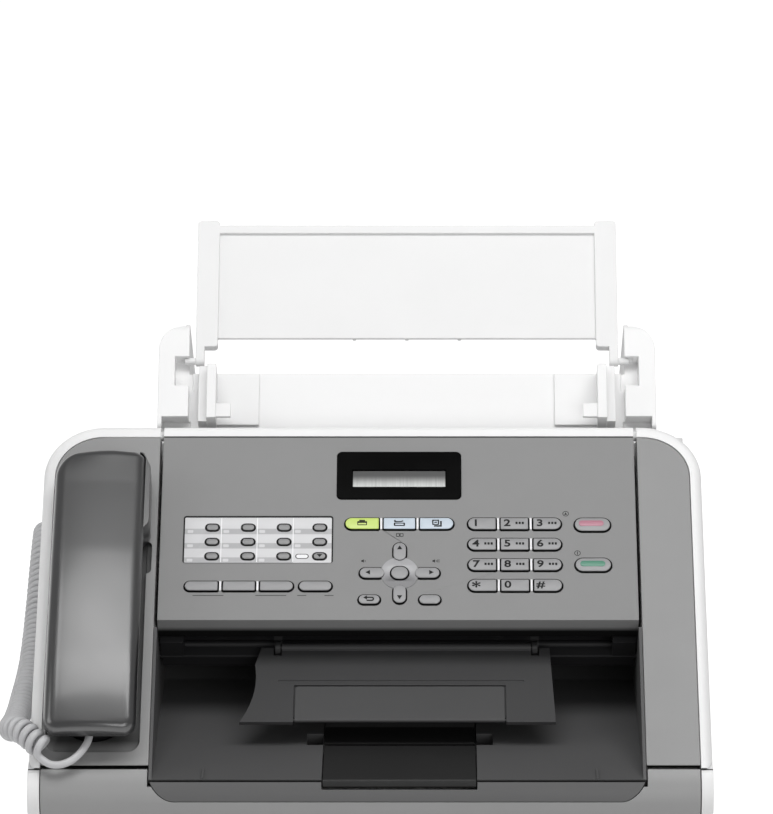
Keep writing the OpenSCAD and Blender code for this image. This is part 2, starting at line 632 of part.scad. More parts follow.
module paper_cassette() color([0.62, 0.62, 0.62]) {
    half_in = cassette_in_w / 2;
    // front
    difference() {
        across(-129, 129) soft_polygon([[-half_d, 8.5], [-162, 8.5], [-162, 8.5 + cassette_front_h], [-half_d, 8.5 + cassette_front_h]],
            [4, 0, 2, 2]);
        // hand grip under the front's middle
        across(-48, 48) grip_profile();
        across(-124, 124) rect(-179, -161, 12, 56);
    }
    // box, with the grip's recess in its floor
    difference() {
        box(-half_in - 3, half_in + 3, -179.5, 150, 8.3, 56);
        difference() {
            box(-half_in, half_in, -176.5, 147, 12, 60);
            box(-50.5, 50.5, -180, -165.5, 5, 22);
        }
        across(-48, 48) grip_profile();
        across(-half_in - 10, half_in + 10) polygon([[40, 60], [60, 40], [160, 40], [160, 60]]);
    }
    // lifting plate, and the two side guides with the rear stop
    box(-half_in + 2, half_in - 2, -164, 20, 12, 13.4);
    for (s = [-1, 1]) box(s * (half_in - 4) - 1.2, s * (half_in - 4) + 1.2, -60, 10, 13.4, 46);
    box(-24, 24, 122, 125, 12, 38);
}

// Rear cover: it turns down to clear a jam behind the fuser.
module rear_cover() color([0.85, 0.85, 0.84]) difference() {
    across(-120, 120) soft_polygon([[172, 70], [half_d, 70], [half_d, 164], [172, 164]], [0, 6.5, 3, 0]);
    box(-115, 115, 170, 180, 78, 160);
    // finger recess at the top
    box(-18, 18, 179, 185, 156, 166);
    for (i = [0 : 7]) box(-72 + i * 19, -62 + i * 19, 178, 185, 96, 100);
}

module toner_cartridge() color([0.16, 0.16, 0.17]) {
    across(-134, 134) soft_polygon([[-120, 86], [0, 86], [6, 100], [6, 138], [-52, 142], [-118, 132]], [8, 6, 8, 8, 20, 12]);
    // handle
    for (x = [-40, 34]) across(x, x + 6) soft_polygon([[-146, 104], [-118, 104], [-118, 118], [-146, 118]], [4, 0, 0, 4]);
    across(-40, 40) soft_polygon([[-146, 104], [-139, 104], [-139, 118], [-146, 118]], [3, 3, 3, 3]);
}

module rubber_feet() color([0.15, 0.15, 0.15]) for (x = [-150, 150], y = [-145, 155]) translate([x, y, 0]) {
    cylinder(r1 = 8, r2 = 9, h = 1);
    translate([0, 0, 1]) cylinder(r = 9, h = foot_h - 1);
}

// Rocker switch low on the right, tipped to its off side.
module power_switch() color([0.2, 0.2, 0.2]) translate(switch_axis) rotate([0, 0, -6]) difference() {
    box(-6, 5.5, -10.2, 10.2, -7, 7);
    translate([26.5, 0, -8]) cylinder(r = 23, h = 16);
    for (s = [-1, 1]) translate([-6, s * 10.2, 0]) rotate([0, 0, 45]) cube([4, 4, 20], center = true);
}

// ---- control panel --------------------------------------------------------------------------

// The keys: name, middle X, middle t, width, depth, left and right corner radius.
pad_x = [60.9, 78.9, 97.0];
pad_t = [157.5, 143.9, 130.4, 116.8];
function pad_key(name, c, r) = [name, pad_x[c], pad_t[r], 15.8, 8, c == 0 ? 3.9 : 0.8, c == 2 ? 3.9 : 0.8];
pad_names = ["key_1", "key_2", "key_3", "key_4", "key_5", "key_6", "key_7", "key_8", "key_9",
    "key_star", "key_0", "key_hash"];
nav_x = 15.3;
nav_t = 125;
KEYS = concat([for (i = [0 : 11]) pad_key(pad_names[i], i % 3, floor(i / 3))], [
    ["mode_fax_key", -5.6, 157.6, 19, 7.8, 3.8, 0.8],
    ["mode_scan_key", 15.1, 157.6, 18, 7.8, 0.8, 0.8],
    ["mode_copy_key", 35.7, 157.6, 19, 7.8, 0.8, 3.8],
    ["nav_up_key", nav_x, nav_t + 14, 8.4, 12, 4.1, 4.1],
    ["nav_down_key", nav_x, nav_t - 14, 8.4, 12, 4.1, 4.1],
    ["nav_left_key", nav_x - 15.2, nav_t, 14, 7.2, 3.5, 3.5],
    ["nav_right_key", nav_x + 15.2, nav_t, 14, 7.2, 3.5, 3.5],
    ["ok_key", nav_x, nav_t, 9.8, 8.6, 4.2, 4.2],
    ["clear_key", -1.4, 107.6, 12, 6.2, 3, 3],
    ["menu_key", 31.9, 107.6, 12, 6.2, 3, 3],
    ["stop_key", 122.2, 156.9, 20, 9, 4.4, 4.4],
    ["start_key", 122.2, 130.3, 20, 9, 4.4, 4.4],
    ["hook_key", -93.9, 116.4, 18.6, 6.5, 3.1, 0.8],
    ["redial_key", -73.2, 116.4, 18.2, 6.5, 0.8, 0.8],
    ["resolution_key", -52.5, 116.4, 18.6, 6.5, 0.8, 3.1],
    ["options_key", -31.1, 116.4, 18.2, 6.5, 3.1, 3.1]]);

// One-touch keys: four columns and three rows of small ovals.
one_touch_x = [-88.6, -68.7, -48.8, -29.0];
one_touch_t = [155, 145.5, 136];

module key_outline(k, grow) translate([k[1], k[2]]) {
    w = k[3] / 2 + grow;
    d = k[4] / 2 + grow;
    rl = k[5] + grow;
    rr = k[6] + grow;
    rect(-w + rl, w - rr, -d, d);
    rect(-w, 0, -d + rl, d - rl);
    rect(0, w, -d + rr, d - rr);
    for (s = [-1, 1]) {
        translate([-w + rl, s * (d - rl)]) circle(r = rl);
        translate([w - rr, s * (d - rr)]) circle(r = rr);
    }
}

module one_touch_outline(grow) for (x = one_touch_x, t = one_touch_t)
    key_outline(["", x, t, 8, 4.8, 2.35, 2.35], grow);

// A key cap with a lower skirt that the panel holds, and a slightly smaller top.
module key_cap(k) {
    on_top_plate(-6, -3.6) key_outline(k, 1);
    on_top_plate(-3.61, key_up - 0.5) key_outline(k, 0);
    on_top_plate(key_up - 0.51, key_up) key_outline(k, -0.5);
}

module key_named(name) color([0.68, 0.68, 0.69]) for (k = KEYS) if (k[0] == name) key_cap(k);

module one_touch_keys() color([0.6, 0.6, 0.61]) {
    on_top_plate(-5.6, -3.6) round_rect(-94, -24, 132, 159, 2);
    on_top_plate(-3.61, key_up - 0.4) one_touch_outline(0);
    on_top_plate(key_up - 0.41, key_up) one_touch_outline(-0.4);
}

display_rect = [-19.8, 49.4, 174.2, 206.1];
lcd_rect = [-11.3, 41, 182.4, 193.9];

module rect_of(r, grow, radius) round_rect(r[0] - grow, r[1] + grow, r[2] - grow, r[3] + grow, radius);

// Control panel: a lid over the scanner, hinged at the white ridge.
module control_panel() color([0.57, 0.57, 0.57]) {
    difference() {
        across(panel_x0, panel_x1) union() {
            polygon([on_top(panel_t0, -panel_h), on_top(panel_t0 + 0.6, 0), on_top(hinge_t, 0),
                on_top(hinge_t, -panel_h + 5), on_top(hinge_t - 8, -panel_h)]);
            translate(on_top(hinge_t, hinge_h)) circle(r = edge_r);
        }
        // hollow under the top plate
        across(panel_x0 + 2.5, panel_x1 - 2.5) polygon([on_top(panel_t0 + 2.5, -panel_h - 5), on_top(panel_t0 + 2.5, -3.2),
            on_top(hinge_t - 6, -3.2), on_top(hinge_t - 6, -panel_h - 5)]);
        // line between the panel and the white ridge
        on_top_plate(-1, 1) rect(-200, 200, ridge_t - 0.4, ridge_t + 0.4);
        for (k = KEYS) on_top_plate(-5, 1) key_outline(k, key_gap);
        on_top_plate(-5, 1) one_touch_outline(key_gap);
        on_top_plate(-5, 1) rect_of(display_rect, 0.2, 3);
    }
    // raised card round the one-touch keys, and the disc round the middle key
    on_top_plate(-0.1, 0.3) difference() {
        rect(-103.9, -22.4, 131.8, 161.7);
        one_touch_outline(key_gap);
    }
    on_top_plate(-0.1, 0.2) difference() {
        translate([nav_x, nav_t]) circle(r = 10.5, $fn = 72);
        for (k = KEYS) key_outline(k, key_gap);
    }
    // pins in the housing's bearings
    place_on_top() for (x = [panel_x0 - 3.4, panel_x1 - 1]) translate([x, hinge_t, hinge_h]) rotate([0, 90, 0])
        cylinder(r = pin_r, h = 4.4);
    // stiffening ribs under the top plate
    for (x = [panel_x0 + 8, 107.5, panel_x1 - 10]) on_top_plate(-8, -3.1) rect(x, x + 1.6, panel_t0 + 2, hinge_t - 5);
}

module display_window() color([0.08, 0.08, 0.08]) {
    difference() {
        union() {
            on_top_plate(-3.2, 0.5) rect_of(display_rect, 0, 3);
            on_top_plate(-6, -3.4) rect_of(display_rect, 1.5, 3);
        }
        on_top_plate(-1.4, 1) rect_of(lcd_rect, 0, 0.5);
    }
    on_top_plate(-3.41, -3.19) rect_of(display_rect, -1, 2);
    on_top_plate(-1.39, -0.6) rect_of(lcd_rect, -0.2, 0.4);
}

// ---- handset --------------------------------------------------------------------------------

handset_x = -150;
handset_t0 = 12;
handset_x0 = handset_x - handset_w / 2;
handset_x1 = handset_x + handset_w / 2;

// Outline of the handset in the plane of the slope; its upper left corner follows the rim.
module handset_outline(grow) {
    x0 = handset_x0 - grow;
    x1 = handset_x1 + grow;
    t0 = handset_t0 - grow;
    t1 = handset_t0 + handset_len + grow;
    soft_polygon([[x0, t0], [x1, t0], [x1, t1], [x0, t1]], [7, 7, 6, 24]);
}

// Half widths and top height along the handset, with rounded ends.
function corner_in(d, r) = d >= r ? 0 : r - sqrt(r * r - (r - d) * (r - d));
function shell_left(t) = handset_x0 + corner_in(t - handset_t0, 7) + corner_in(handset_t0 + handset_len - t, 24);
function shell_right(t) = handset_x1 - corner_in(t - handset_t0, 7) - corner_in(handset_t0 + handset_len - t, 6);
function shell_top(t) = let (f = (t - handset_t0) / handset_len)
    handset_h - 1 + 1.2 * sin(180 * min(1, f * 1.15)) - 5 * max(0, f - 0.62) - corner_in(t - handset_t0, 5)
        - corner_in(handset_t0 + handset_len - t, 6);
shell_base = 14;
pocket_h = 2.6;                // depth of the handset's pocket
base_t0 = handset_t0 + 12;     // the lower half starts behind the shell's front end
lead_x = -151;                 // where the cord leaves the handset
lead_t = 19;
lead_h = 7.5;
shell_r = 7;

// One cross-section of the shell: base, side, rounded shoulder and a crowned top.
function shell_ring(t) = let (a = shell_left(t), b = shell_right(t), top = shell_top(t), c = (a + b) / 2,
    w = (b - a) / 2, crown = 1.2, r = min(shell_r, w - 0.5, top - crown - shell_base - 1), n = 6) concat(
    [[c + w - 0.8, shell_base], [c + w, (shell_base + top - r) / 2]],
    [for (i = [0 : n]) [c + w - r + r * cos(90 * i / n), top - crown - r + r * sin(90 * i / n)]],
    [for (i = [1 : 5]) let (x = (w - r) * (1 - i / 3)) [c + x, top - crown * pow(x / (w - r), 2)]],
    [for (i = [0 : n]) [c - w + r - r * sin(90 * i / n), top - crown - r + r * cos(90 * i / n)]],
    [[c - w, (shell_base + top - r) / 2], [c - w + 0.8, shell_base]]);

shell_stations = concat([for (d = [0, 0.35, 1.2, 2.4, 4.2, 7]) handset_t0 + d],
    [for (i = [1 : 8]) handset_t0 + 7 + i * (handset_len - 35) / 9],
    [for (d = [28, 24, 19, 14, 9.5, 6, 3.6, 1.8, 0.6, 0]) handset_t0 + handset_len - d]);

// A solid through rings of the same number of points, closed at both ends.
module loft(rings) {
    n = len(rings[0]);
    m = len(rings);
    polyhedron(points = [for (r = rings) each r], faces = concat(
        [[for (i = [0 : n - 1]) i]],
        [for (j = [0 : m - 2], i = [0 : n - 1]) each [
            [j * n + i, (j + 1) * n + i, (j + 1) * n + (i + 1) % n],
            [j * n + i, (j + 1) * n + (i + 1) % n, j * n + (i + 1) % n]]],
        [[for (i = [n - 1 : -1 : 0]) (m - 1) * n + i]]));
}

module handset_shell() color([0.33, 0.33, 0.34]) place_on_top()
    loft([for (t = shell_stations) [for (p = shell_ring(t)) [p.x, t, p.y]]]);

// Lower half of the handset, with the two cups that face the cradle.
module handset_base() color([0.2, 0.2, 0.21]) {
    on_top_plate(gap - pocket_h, shell_base) soft_polygon([[handset_x0 + 1.5, base_t0], [handset_x1 - 1.5, base_t0],
        [handset_x1 - 1.5, handset_t0 + handset_len - 1.5], [handset_x0 + 1.5, handset_t0 + handset_len - 1.5]],
        [6, 6, 5, 23]);
    // socket of the cord
    on_top_plate(lead_h - 3.2, lead_h + 3.2) rect(lead_x - 4.5, lead_x + 4.5, lead_t, base_t0 + 1);
    for (t = [40, 168]) place_on_top() difference() {
        translate([handset_x, t, -9.5]) cylinder(r = 20, h = 10.5);
        translate([handset_x, t, -10]) cylinder(r = 15, h = 3);
        for (a = [0 : 60 : 300]) translate([handset_x + 7 * cos(a), t + 7 * sin(a), -8])
            cylinder(r = 1.2, h = 4);
    }
    // bulge beside the earpiece
    difference() {
        on_top_plate(2, 20) soft_polygon([[-129, 138], [-122.6, 146], [-123, 183], [-127, 192.5],
            [-131, 192.5]], [1, 6, 6, 2, 0]);
        on_top_plate(shell_base, 30) handset_outline(0.1);
    }
}

module hook_switch() color([0.85, 0.85, 0.85]) on_top_plate(-9, -pocket_h) round_rect(handset_x - 4, handset_x + 4, 99, 113, 1);

// ---- cord -----------------------------------------------------------------------------------

jack_y = 126;
jack_z = 170;

// The cord's free stretch, from the handset's end to the first turn.
LEAD = [[-151, -156.3, 195.6], [-151.5, -161, 193.4], [-154, -166, 191], [-158, -170.5, 188.6],
    [-163, -173.5, 187], [-169, -174.5, 186.4], [-174, -173, 187]];

// The middle of the curly stretch, over the rim and back along the side to the socket.
COIL = [[-174, -168, 191], [-180, -163, 194], [-186, -156, 195], [-192, -147, 192], [-195, -135, 184],
    [-194, -112, 175], [-193, -80, 168], [-192, -40, 162], [-192, 0, 162], [-192, 40, 168], [-192, 70, 172.5],
    [-192, 92, 173]];

// The cord's end, from the last turn into the socket.
TAIL = [[-192, 98, 172.8], [-192, 106, 172.1], [-191.6, 114, 171.4], [-189.5, 121, 170.7], [-185, 125.4, 170.2],
    [-179, 126, 170], [-172, 126, 170]];

// A smooth curve through the points, k steps to a span.
function curve_at(p, i, u) = let (n = len(p), a = p[max(0, i - 1)], b = p[i], c = p[min(n - 1, i + 1)],
    d = p[min(n - 1, i + 2)]) b + 0.5 * u * ((c - a) + u * ((2 * a - 5 * b + 4 * c - d) + u * (3 * b - a - 3 * c + d)));
function curve(p, k) = concat([for (i = [0 : len(p) - 2], j = [0 : k - 1]) curve_at(p, i, j / k)], [p[len(p) - 1]]);

// A tube of n sides along the points with the radii r, each ring square to the path.
module tube(p, r, n) {
    m = len(p);
    loft([for (i = [0 : m - 1]) let (d = unit(p[min(m - 1, i + 1)] - p[max(0, i - 1)]),
        u = unit(cross(d, [0.1, 0.2, 1])), v = cross(u, d))
        [for (j = [0 : n - 1]) p[i] + r[i] * (cos(360 * j / n) * u + sin(360 * j / n) * v)]]);
}

module handset_lead() color([0.7, 0.7, 0.7]) {
    line = curve(LEAD, 2);
    tube(line, [for (p = line) cord_d / 2], 8);
}

// The curly stretch as its outer shape, narrowing to the plain cord at the socket.
module curly_cord() color([0.7, 0.7, 0.7]) {
    coil = curve(COIL, 3);
    tail = curve(TAIL, 2);
    tube(concat(coil, tail), concat([for (p = coil) coil_d / 2], [for (p = tail) cord_d / 2]), 12);
}

// ---- assembly -------------------------------------------------------------------------------

base_frame();
upper_housing();
left_side_cover();
right_side_cover();
document_tray();
handset_cradle();
right_deck();
output_tray();
scanner_frame();
toner_cartridge();
rubber_feet();
front_cover();
tray_lip();
manual_feed_cover();
paper_cassette();
rear_cover();
output_flap();
document_output_support();
document_output_flap();
control_panel();
display_window();
document_guide_left();
document_guide_right();
document_support();
feed_roller();
hook_switch();
power_switch();
handset_shell();
handset_base();
handset_lead();
curly_cord();
key_named("key_1");  // key_1
key_named("key_2");  // key_2
key_named("key_3");  // key_3
key_named("key_4");  // key_4
key_named("key_5");  // key_5
key_named("key_6");  // key_6
key_named("key_7");  // key_7
key_named("key_8");  // key_8
key_named("key_9");  // key_9
key_named("key_star");  // key_star
key_named("key_0");  // key_0
key_named("key_hash");  // key_hash
key_named("mode_fax_key");  // mode_fax_key
key_named("mode_scan_key");  // mode_scan_key
key_named("mode_copy_key");  // mode_copy_key
key_named("nav_up_key");  // nav_up_key
key_named("nav_down_key");  // nav_down_key
key_named("nav_left_key");  // nav_left_key
key_named("nav_right_key");  // nav_right_key
key_named("ok_key");  // ok_key
key_named("clear_key");  // clear_key
key_named("menu_key");  // menu_key
key_named("stop_key");  // stop_key
key_named("start_key");  // start_key
key_named("hook_key");  // hook_key
key_named("redial_key");  // redial_key
key_named("resolution_key");  // resolution_key
key_named("options_key");  // options_key
one_touch_keys();
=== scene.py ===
"""Looks of a desktop laser fax machine with a corded handset.

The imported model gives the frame. This script dresses its nodes with moulded-plastic finishes, replaces the ones
whose curves show with smooth skins, and adds the curly cord, the key caps and their digits, and the display.
Lengths are written in millimetres along the machine's own surfaces and turned to metres in the meshes.
"""

import logging
import math
from collections.abc import Iterator, Sequence
from contextlib import contextmanager
from dataclasses import dataclass, field, replace
from enum import Enum

import bmesh
import bpy
import numpy as np
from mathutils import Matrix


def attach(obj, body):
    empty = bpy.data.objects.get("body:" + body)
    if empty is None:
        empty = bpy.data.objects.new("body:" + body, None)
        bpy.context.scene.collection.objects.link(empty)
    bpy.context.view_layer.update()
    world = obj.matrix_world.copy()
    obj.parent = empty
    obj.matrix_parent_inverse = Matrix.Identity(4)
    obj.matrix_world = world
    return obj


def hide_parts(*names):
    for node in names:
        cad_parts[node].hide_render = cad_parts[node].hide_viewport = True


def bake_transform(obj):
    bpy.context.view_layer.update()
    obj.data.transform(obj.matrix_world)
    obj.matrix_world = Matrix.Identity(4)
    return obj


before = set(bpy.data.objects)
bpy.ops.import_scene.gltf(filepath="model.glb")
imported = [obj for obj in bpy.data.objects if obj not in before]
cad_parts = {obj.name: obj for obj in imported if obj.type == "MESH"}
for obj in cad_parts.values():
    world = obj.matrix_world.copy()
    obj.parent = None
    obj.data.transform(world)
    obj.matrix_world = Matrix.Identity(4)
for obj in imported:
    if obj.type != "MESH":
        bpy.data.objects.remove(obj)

LOG = logging.getLogger("fax_machine")
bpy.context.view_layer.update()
MM = 0.001

Colour = tuple[float, float, float]
Point = tuple[float, float, float]
Range = tuple[float, float]
Socket = bpy.types.NodeSocket

SAME_POINT = 1e-7  # metres between points of a new shape that are one
SAME_CAD_POINT = 2e-6  # metres between points of a CAD mesh that are one
FLAT_TURN = math.radians(0.1)  # a smaller turn between two faces of a CAD mesh is flat
EVEN_TURN = 2e-3  # the same for faces whose triangles are made even
SKIN_CREASE = 32.0  # degrees, past which an edge of a skin stays an edge
SHAPE_CREASE = 40.0  # degrees, the same for a drawn shape
INK_FILM, TYPE_BOLD, TYPE_WIDE = 0.03, 0.15, 1.25

# ---- places on the machine ------------------------------------------------------------------

SLOPE = math.radians(25.0)
SEAM_Y, SEAM_Z = -170.0, 181.0
NAV_X, NAV_T, NAV_REACH = 15.3, 125.0, 14.0
HANDSET_X, HANDSET_T0, HANDSET_LEN, HANDSET_W = -150.0, 12.0, 181.0, 48.0
CORD_D, COIL_D = 4.2, 15.0

LEAD = ((-151, -156.3, 195.6), (-151.5, -161, 193.4), (-154, -166, 191), (-158, -170.5, 188.6),
        (-163, -173.5, 187), (-169, -174.5, 186.4), (-174, -173, 187))
COIL = ((-174, -168, 191), (-180, -163, 194), (-186, -156, 195), (-192, -147, 192), (-195, -135, 184),
        (-194, -112, 175), (-193, -80, 168), (-192, -40, 162), (-192, 0, 162), (-192, 40, 168),
        (-192, 70, 172.5), (-192, 92, 173))
TAIL = ((-192, 98, 172.8), (-192, 106, 172.1), (-191.6, 114, 171.4), (-189.5, 121, 170.7),
        (-185, 125.4, 170.2), (-179, 126, 170), (-172, 126, 170))


def on_top(points: np.ndarray) -> np.ndarray:
    """Places points on the sloping top: X across, Y up the slope, Z out of it.

    Args:
        points: An array of X, t, h in millimetres, of shape (..., 3).

    Returns:
        The same points in the machine's frame, in metres.
    """
    x, t, h = points[..., 0], points[..., 1], points[..., 2]
    y = SEAM_Y + t * math.cos(SLOPE) - h * math.sin(SLOPE)
    z = SEAM_Z + t * math.sin(SLOPE) + h * math.cos(SLOPE)
    return np.stack([x, y, z], axis=-1) * MM


# ---- meshes from arrays ---------------------------------------------------------------------


def add_object(name: str, data: bpy.types.ID) -> bpy.types.Object:
    """Puts a mesh, curve, lamp or camera into the scene as an object at the origin.

    Args:
        name: Name of the object.
        data: The mesh, curve, lamp or camera.

    Returns:
        The new object.
    """
    piece = bpy.data.objects.new(name, data)
    bpy.context.scene.collection.objects.link(piece)
    return piece


def surface(name: str, grid: np.ndarray, around: bool = True, capped: bool = True) -> bpy.types.Object:
    """Makes a mesh from a grid of points, one quad between each four neighbours.

    Args:
        name: Name of the piece.
        grid: Points of shape (rings, points in a ring, 3), in metres.
        around: Whether the last point of each ring joins the first.
        capped: Whether the first and last rings are closed by a face.

    Returns:
        The new object, shaded smooth.
    """
    rings, count = grid.shape[:2]
    spans = count if around else count - 1
    j, i = np.meshgrid(np.arange(rings - 1), np.arange(spans), indexing="ij")
    a, b = j * count + i, j * count + (i + 1) % count
    quads = np.stack([a, b, b + count, a + count], axis=-1).reshape(-1, 4)
    faces = quads.tolist()
    if capped:
        faces.append(list(range(count - 1, -1, -1)))
        faces.append(list(range((rings - 1) * count, rings * count)))
    mesh = bpy.data.meshes.new(name)
    mesh.from_pydata(grid.reshape(-1, 3).tolist(), [], faces)
    mesh.polygons.foreach_set("use_smooth", np.ones(len(mesh.polygons), dtype=bool))
    mesh.update()
    tidy_normals(mesh)
    return add_object(name, mesh)


@contextmanager
def edited(mesh: bpy.types.Mesh) -> Iterator[bmesh.types.BMesh]:
    """Opens a mesh for editing, and writes it back at the end of the block.

    Args:
        mesh: The mesh.

    Yields:
        Its points, edges and faces.
    """
    work = bmesh.new()
    work.from_mesh(mesh)
    yield work
    work.to_mesh(mesh)
    work.free()


def tidy_normals(mesh: bpy.types.Mesh) -> None:
    """Merges the points that coincide and turns every face outwards.

    Args:
        mesh: The mesh.
    """
    with edited(mesh) as work:
        bmesh.ops.remove_doubles(work, verts=work.verts, dist=SAME_POINT)
        bmesh.ops.recalc_face_normals(work, faces=work.faces)


def sharpen(mesh: bpy.types.Mesh, degrees: float) -> None:
    """Shades a mesh smooth, with a crease at each sharp edge.

    Args:
        mesh: The mesh.
        degrees: The angle past which an edge is sharp.
    """
    limit = math.radians(degrees)
    with edited(mesh) as work:
        for edge in work.edges:
            edge.smooth = len(edge.link_faces) == 2 and edge.calc_face_angle(0.0) < limit
        for face in work.faces:
            face.smooth = True


def points_of(mesh: bpy.types.Mesh) -> np.ndarray:
    """Reads the points of a mesh.

    Args:
        mesh: The mesh.

    Returns:
        Its points, of shape (n, 3).
    """
    flat = np.empty(len(mesh.vertices) * 3)
    mesh.vertices.foreach_get("co", flat)
    return flat.reshape(-1, 3)


def flat_shape(name: str, outlines: Sequence[np.ndarray], h0: float, h1: float,
               round_mm: float = 0.0) -> bpy.types.Object:
    """Makes a plate on the sloping top from closed outlines, an inner outline being a hole.

    Args:
        name: Name of the piece.
        outlines: Closed outlines in millimetres, each of shape (n, 2).
        h0: Height of its underside.
        h1: Height of its top.
        round_mm: Rounding of its edges.

    Returns:
        The new object, shaded with creases.
    """
    drawing = bpy.data.curves.new(name, "CURVE")
    drawing.dimensions = "2D"
    drawing.fill_mode = "BOTH"
    drawing.extrude = (h1 - h0) / 2 - round_mm
    drawing.bevel_depth = round_mm
    drawing.bevel_resolution = 2
    drawing.offset = -round_mm
    for outline in outlines:
        line = drawing.splines.new("POLY")
        line.points.add(len(outline) - 1)
        flat = np.column_stack([outline, np.zeros(len(outline)), np.ones(len(outline))])
        line.points.foreach_set("co", flat.ravel())
        line.use_cyclic_u = True
    return shape_to_piece(name, drawing, (0.0, 0.0, (h0 + h1) / 2))


def shape_to_piece(name: str, drawing: bpy.types.Curve, middle: Point, wide: float = 1.0) -> bpy.types.Object:
    """Turns a flat curve or a text into a mesh and then puts it in its place on the sloping top.

    Args:
        name: Name of the piece.
        drawing: The curve or text, drawn in millimetres.
        middle: Where its own origin goes, as X, t, h.
        wide: How many times its own width it is drawn out to.

    Returns:
        The new object.
    """
    holder = add_object(name + "_drawing", drawing)
    bpy.context.view_layer.update()
    mesh = bpy.data.meshes.new_from_object(holder.evaluated_get(bpy.context.evaluated_depsgraph_get()))
    mesh.name = name
    bpy.data.objects.remove(holder)
    bpy.data.curves.remove(drawing)
    mesh.vertices.foreach_set("co", on_top(points_of(mesh) * (wide, 1.0, 1.0) + middle).ravel())
    mesh.materials.clear()
    tidy_normals(mesh)
    sharpen(mesh, SHAPE_CREASE)
    return add_object(name, mesh)


def printed_text(name: str, words: str, size: float, middle: Point) -> bpy.types.Object:
    """Prints a digit or sign as a thin raised film of ink.

    Args:
        name: Name of the piece.
        words: The digit or sign.
        size: Height of the type, in millimetres.
        middle: Its middle, as X, t, h.

    Returns:
        The new object.
    """
    letters = bpy.data.curves.new(name, "FONT")
    letters.body = words
    letters.size = size
    letters.align_x = letters.align_y = "CENTER"
    letters.extrude = INK_FILM
    letters.offset = TYPE_BOLD
    return shape_to_piece(name, letters, middle, TYPE_WIDE)


def oblong(w: float, d: float, r: float, middle: Range = (0.0, 0.0), right: float | None = None,
           steps: int = 8) -> np.ndarray:
    """Outline of a rectangle with rounded corners: centre plus radius times cosine and sine of the angle.

    Args:
        w: Width.
        d: Depth.
        r: Radius of its corners.
        middle: Middle of the rectangle.
        right: Radius of the two right corners, if it differs.
        steps: Points in each corner, less one.

    Returns:
        Points anticlockwise, of shape (4 * (steps + 1), 2).
    """
    angles = np.linspace(0.0, math.pi / 2, steps + 1)
    right = r if right is None else right
    parts = []
    for turn, (sx, sy, bend) in enumerate(((1, 1, right), (-1, 1, r), (-1, -1, r), (1, -1, right))):
        centre = np.array([sx * (w / 2 - bend), sy * (d / 2 - bend)])
        angle = angles + turn * math.pi / 2
        parts.append(centre + bend * np.column_stack([np.cos(angle), np.sin(angle)]))
    return np.concatenate(parts) + np.array(middle)


def circle(r: float, middle: Range, count: int) -> np.ndarray:
    """Outline of a circle, of shape (count, 2)."""
    a = np.linspace(0.0, 2 * math.pi, count + 1)[:-1]
    return r * np.column_stack([np.cos(a), np.sin(a)]) + np.array(middle)


def smooth_line(points: Sequence[Point], steps: int) -> np.ndarray:
    """A curve through the points, with tangents along the chord of each point's neighbours.

    Args:
        points: The points that it goes through.
        steps: Parts into which each span is cut.

    Returns:
        The curve's points, of shape ((len(points) - 1) * steps + 1, 3).
    """
    p = np.array(points, dtype=float)
    count = len(p)
    i = np.arange(count - 1)[:, None]
    a, b, c, d = p[np.maximum(i - 1, 0)], p[i], p[i + 1], p[np.minimum(i + 2, count - 1)]
    u = (np.arange(steps) / steps)[None, :, None]
    line = b + 0.5 * u * ((c - a) + u * ((2 * a - 5 * b + 4 * c - d) + u * (3 * b - a - 3 * c + d)))
    return np.concatenate([line.reshape(-1, 3), p[-1:]])


def evenly(line: np.ndarray, spacing: float) -> np.ndarray:
    """The same curve with its points an equal way apart.

    Args:
        line: Points of the curve, of shape (n, 3).
        spacing: How far apart the new points are, about.

    Returns:
        The new points, of shape (m, 3).
    """
    run = np.concatenate([[0.0], np.cumsum(np.linalg.norm(np.diff(line, axis=0), axis=1))])
    at = np.linspace(0.0, run[-1], max(2, round(run[-1] / spacing)) + 1)
    return np.column_stack([np.interp(at, run, line[:, k]) for k in range(3)])


def square_to(line: np.ndarray) -> tuple[np.ndarray, np.ndarray, np.ndarray]:
    """Unit directions at each point of a path: along it, and two square to it.

    The second is turned as little as possible from one point to the next; the third is the cross product of the
    other two.

    Args:
        line: Points of the path, of shape (n, 3).

    Returns:
        The three directions, each of shape (n, 3).
    """
    ahead = np.gradient(line, axis=0)
    ahead /= np.linalg.norm(ahead, axis=1, keepdims=True)
    side = np.zeros_like(ahead)
    start = np.cross(ahead[0], [0.1, 0.2, 1.0])
    side[0] = start / np.linalg.norm(start)
    for k in range(1, len(ahead)):
        carried = side[k - 1] - ahead[k] * np.dot(side[k - 1], ahead[k])
        side[k] = carried / np.linalg.norm(carried)
    return ahead, side, np.cross(ahead, side)


def tube_rings(line: np.ndarray, radius: float, sides: int) -> np.ndarray:
    """Rings round a path: centre plus radius times cosine and sine along two directions square to the path.

    Args:
        line: Points of the path, of shape (n, 3).
        radius: Radius of the tube.
        sides: Points in a ring.

    Returns:
        Points of shape (n, sides, 3).
    """
    _, side, other = square_to(line)
    angle = np.linspace(0.0, 2 * math.pi, sides, endpoint=False)[None, :, None]
    return line[:, None, :] + radius * (np.cos(angle) * side[:, None, :] + np.sin(angle) * other[:, None, :])


def mount(piece: bpy.types.Object, finish: "Finish", body: str, *nodes: str) -> None:
    """Dresses a piece and lets it ride on a body.

    Args:
        piece: The piece.
        finish: Its finish.
        body: The body that it rides on.
        nodes: The CAD nodes that it stands for.
    """
    finish.dress(piece)
    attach(piece, body)
    if nodes:
        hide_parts(*nodes)


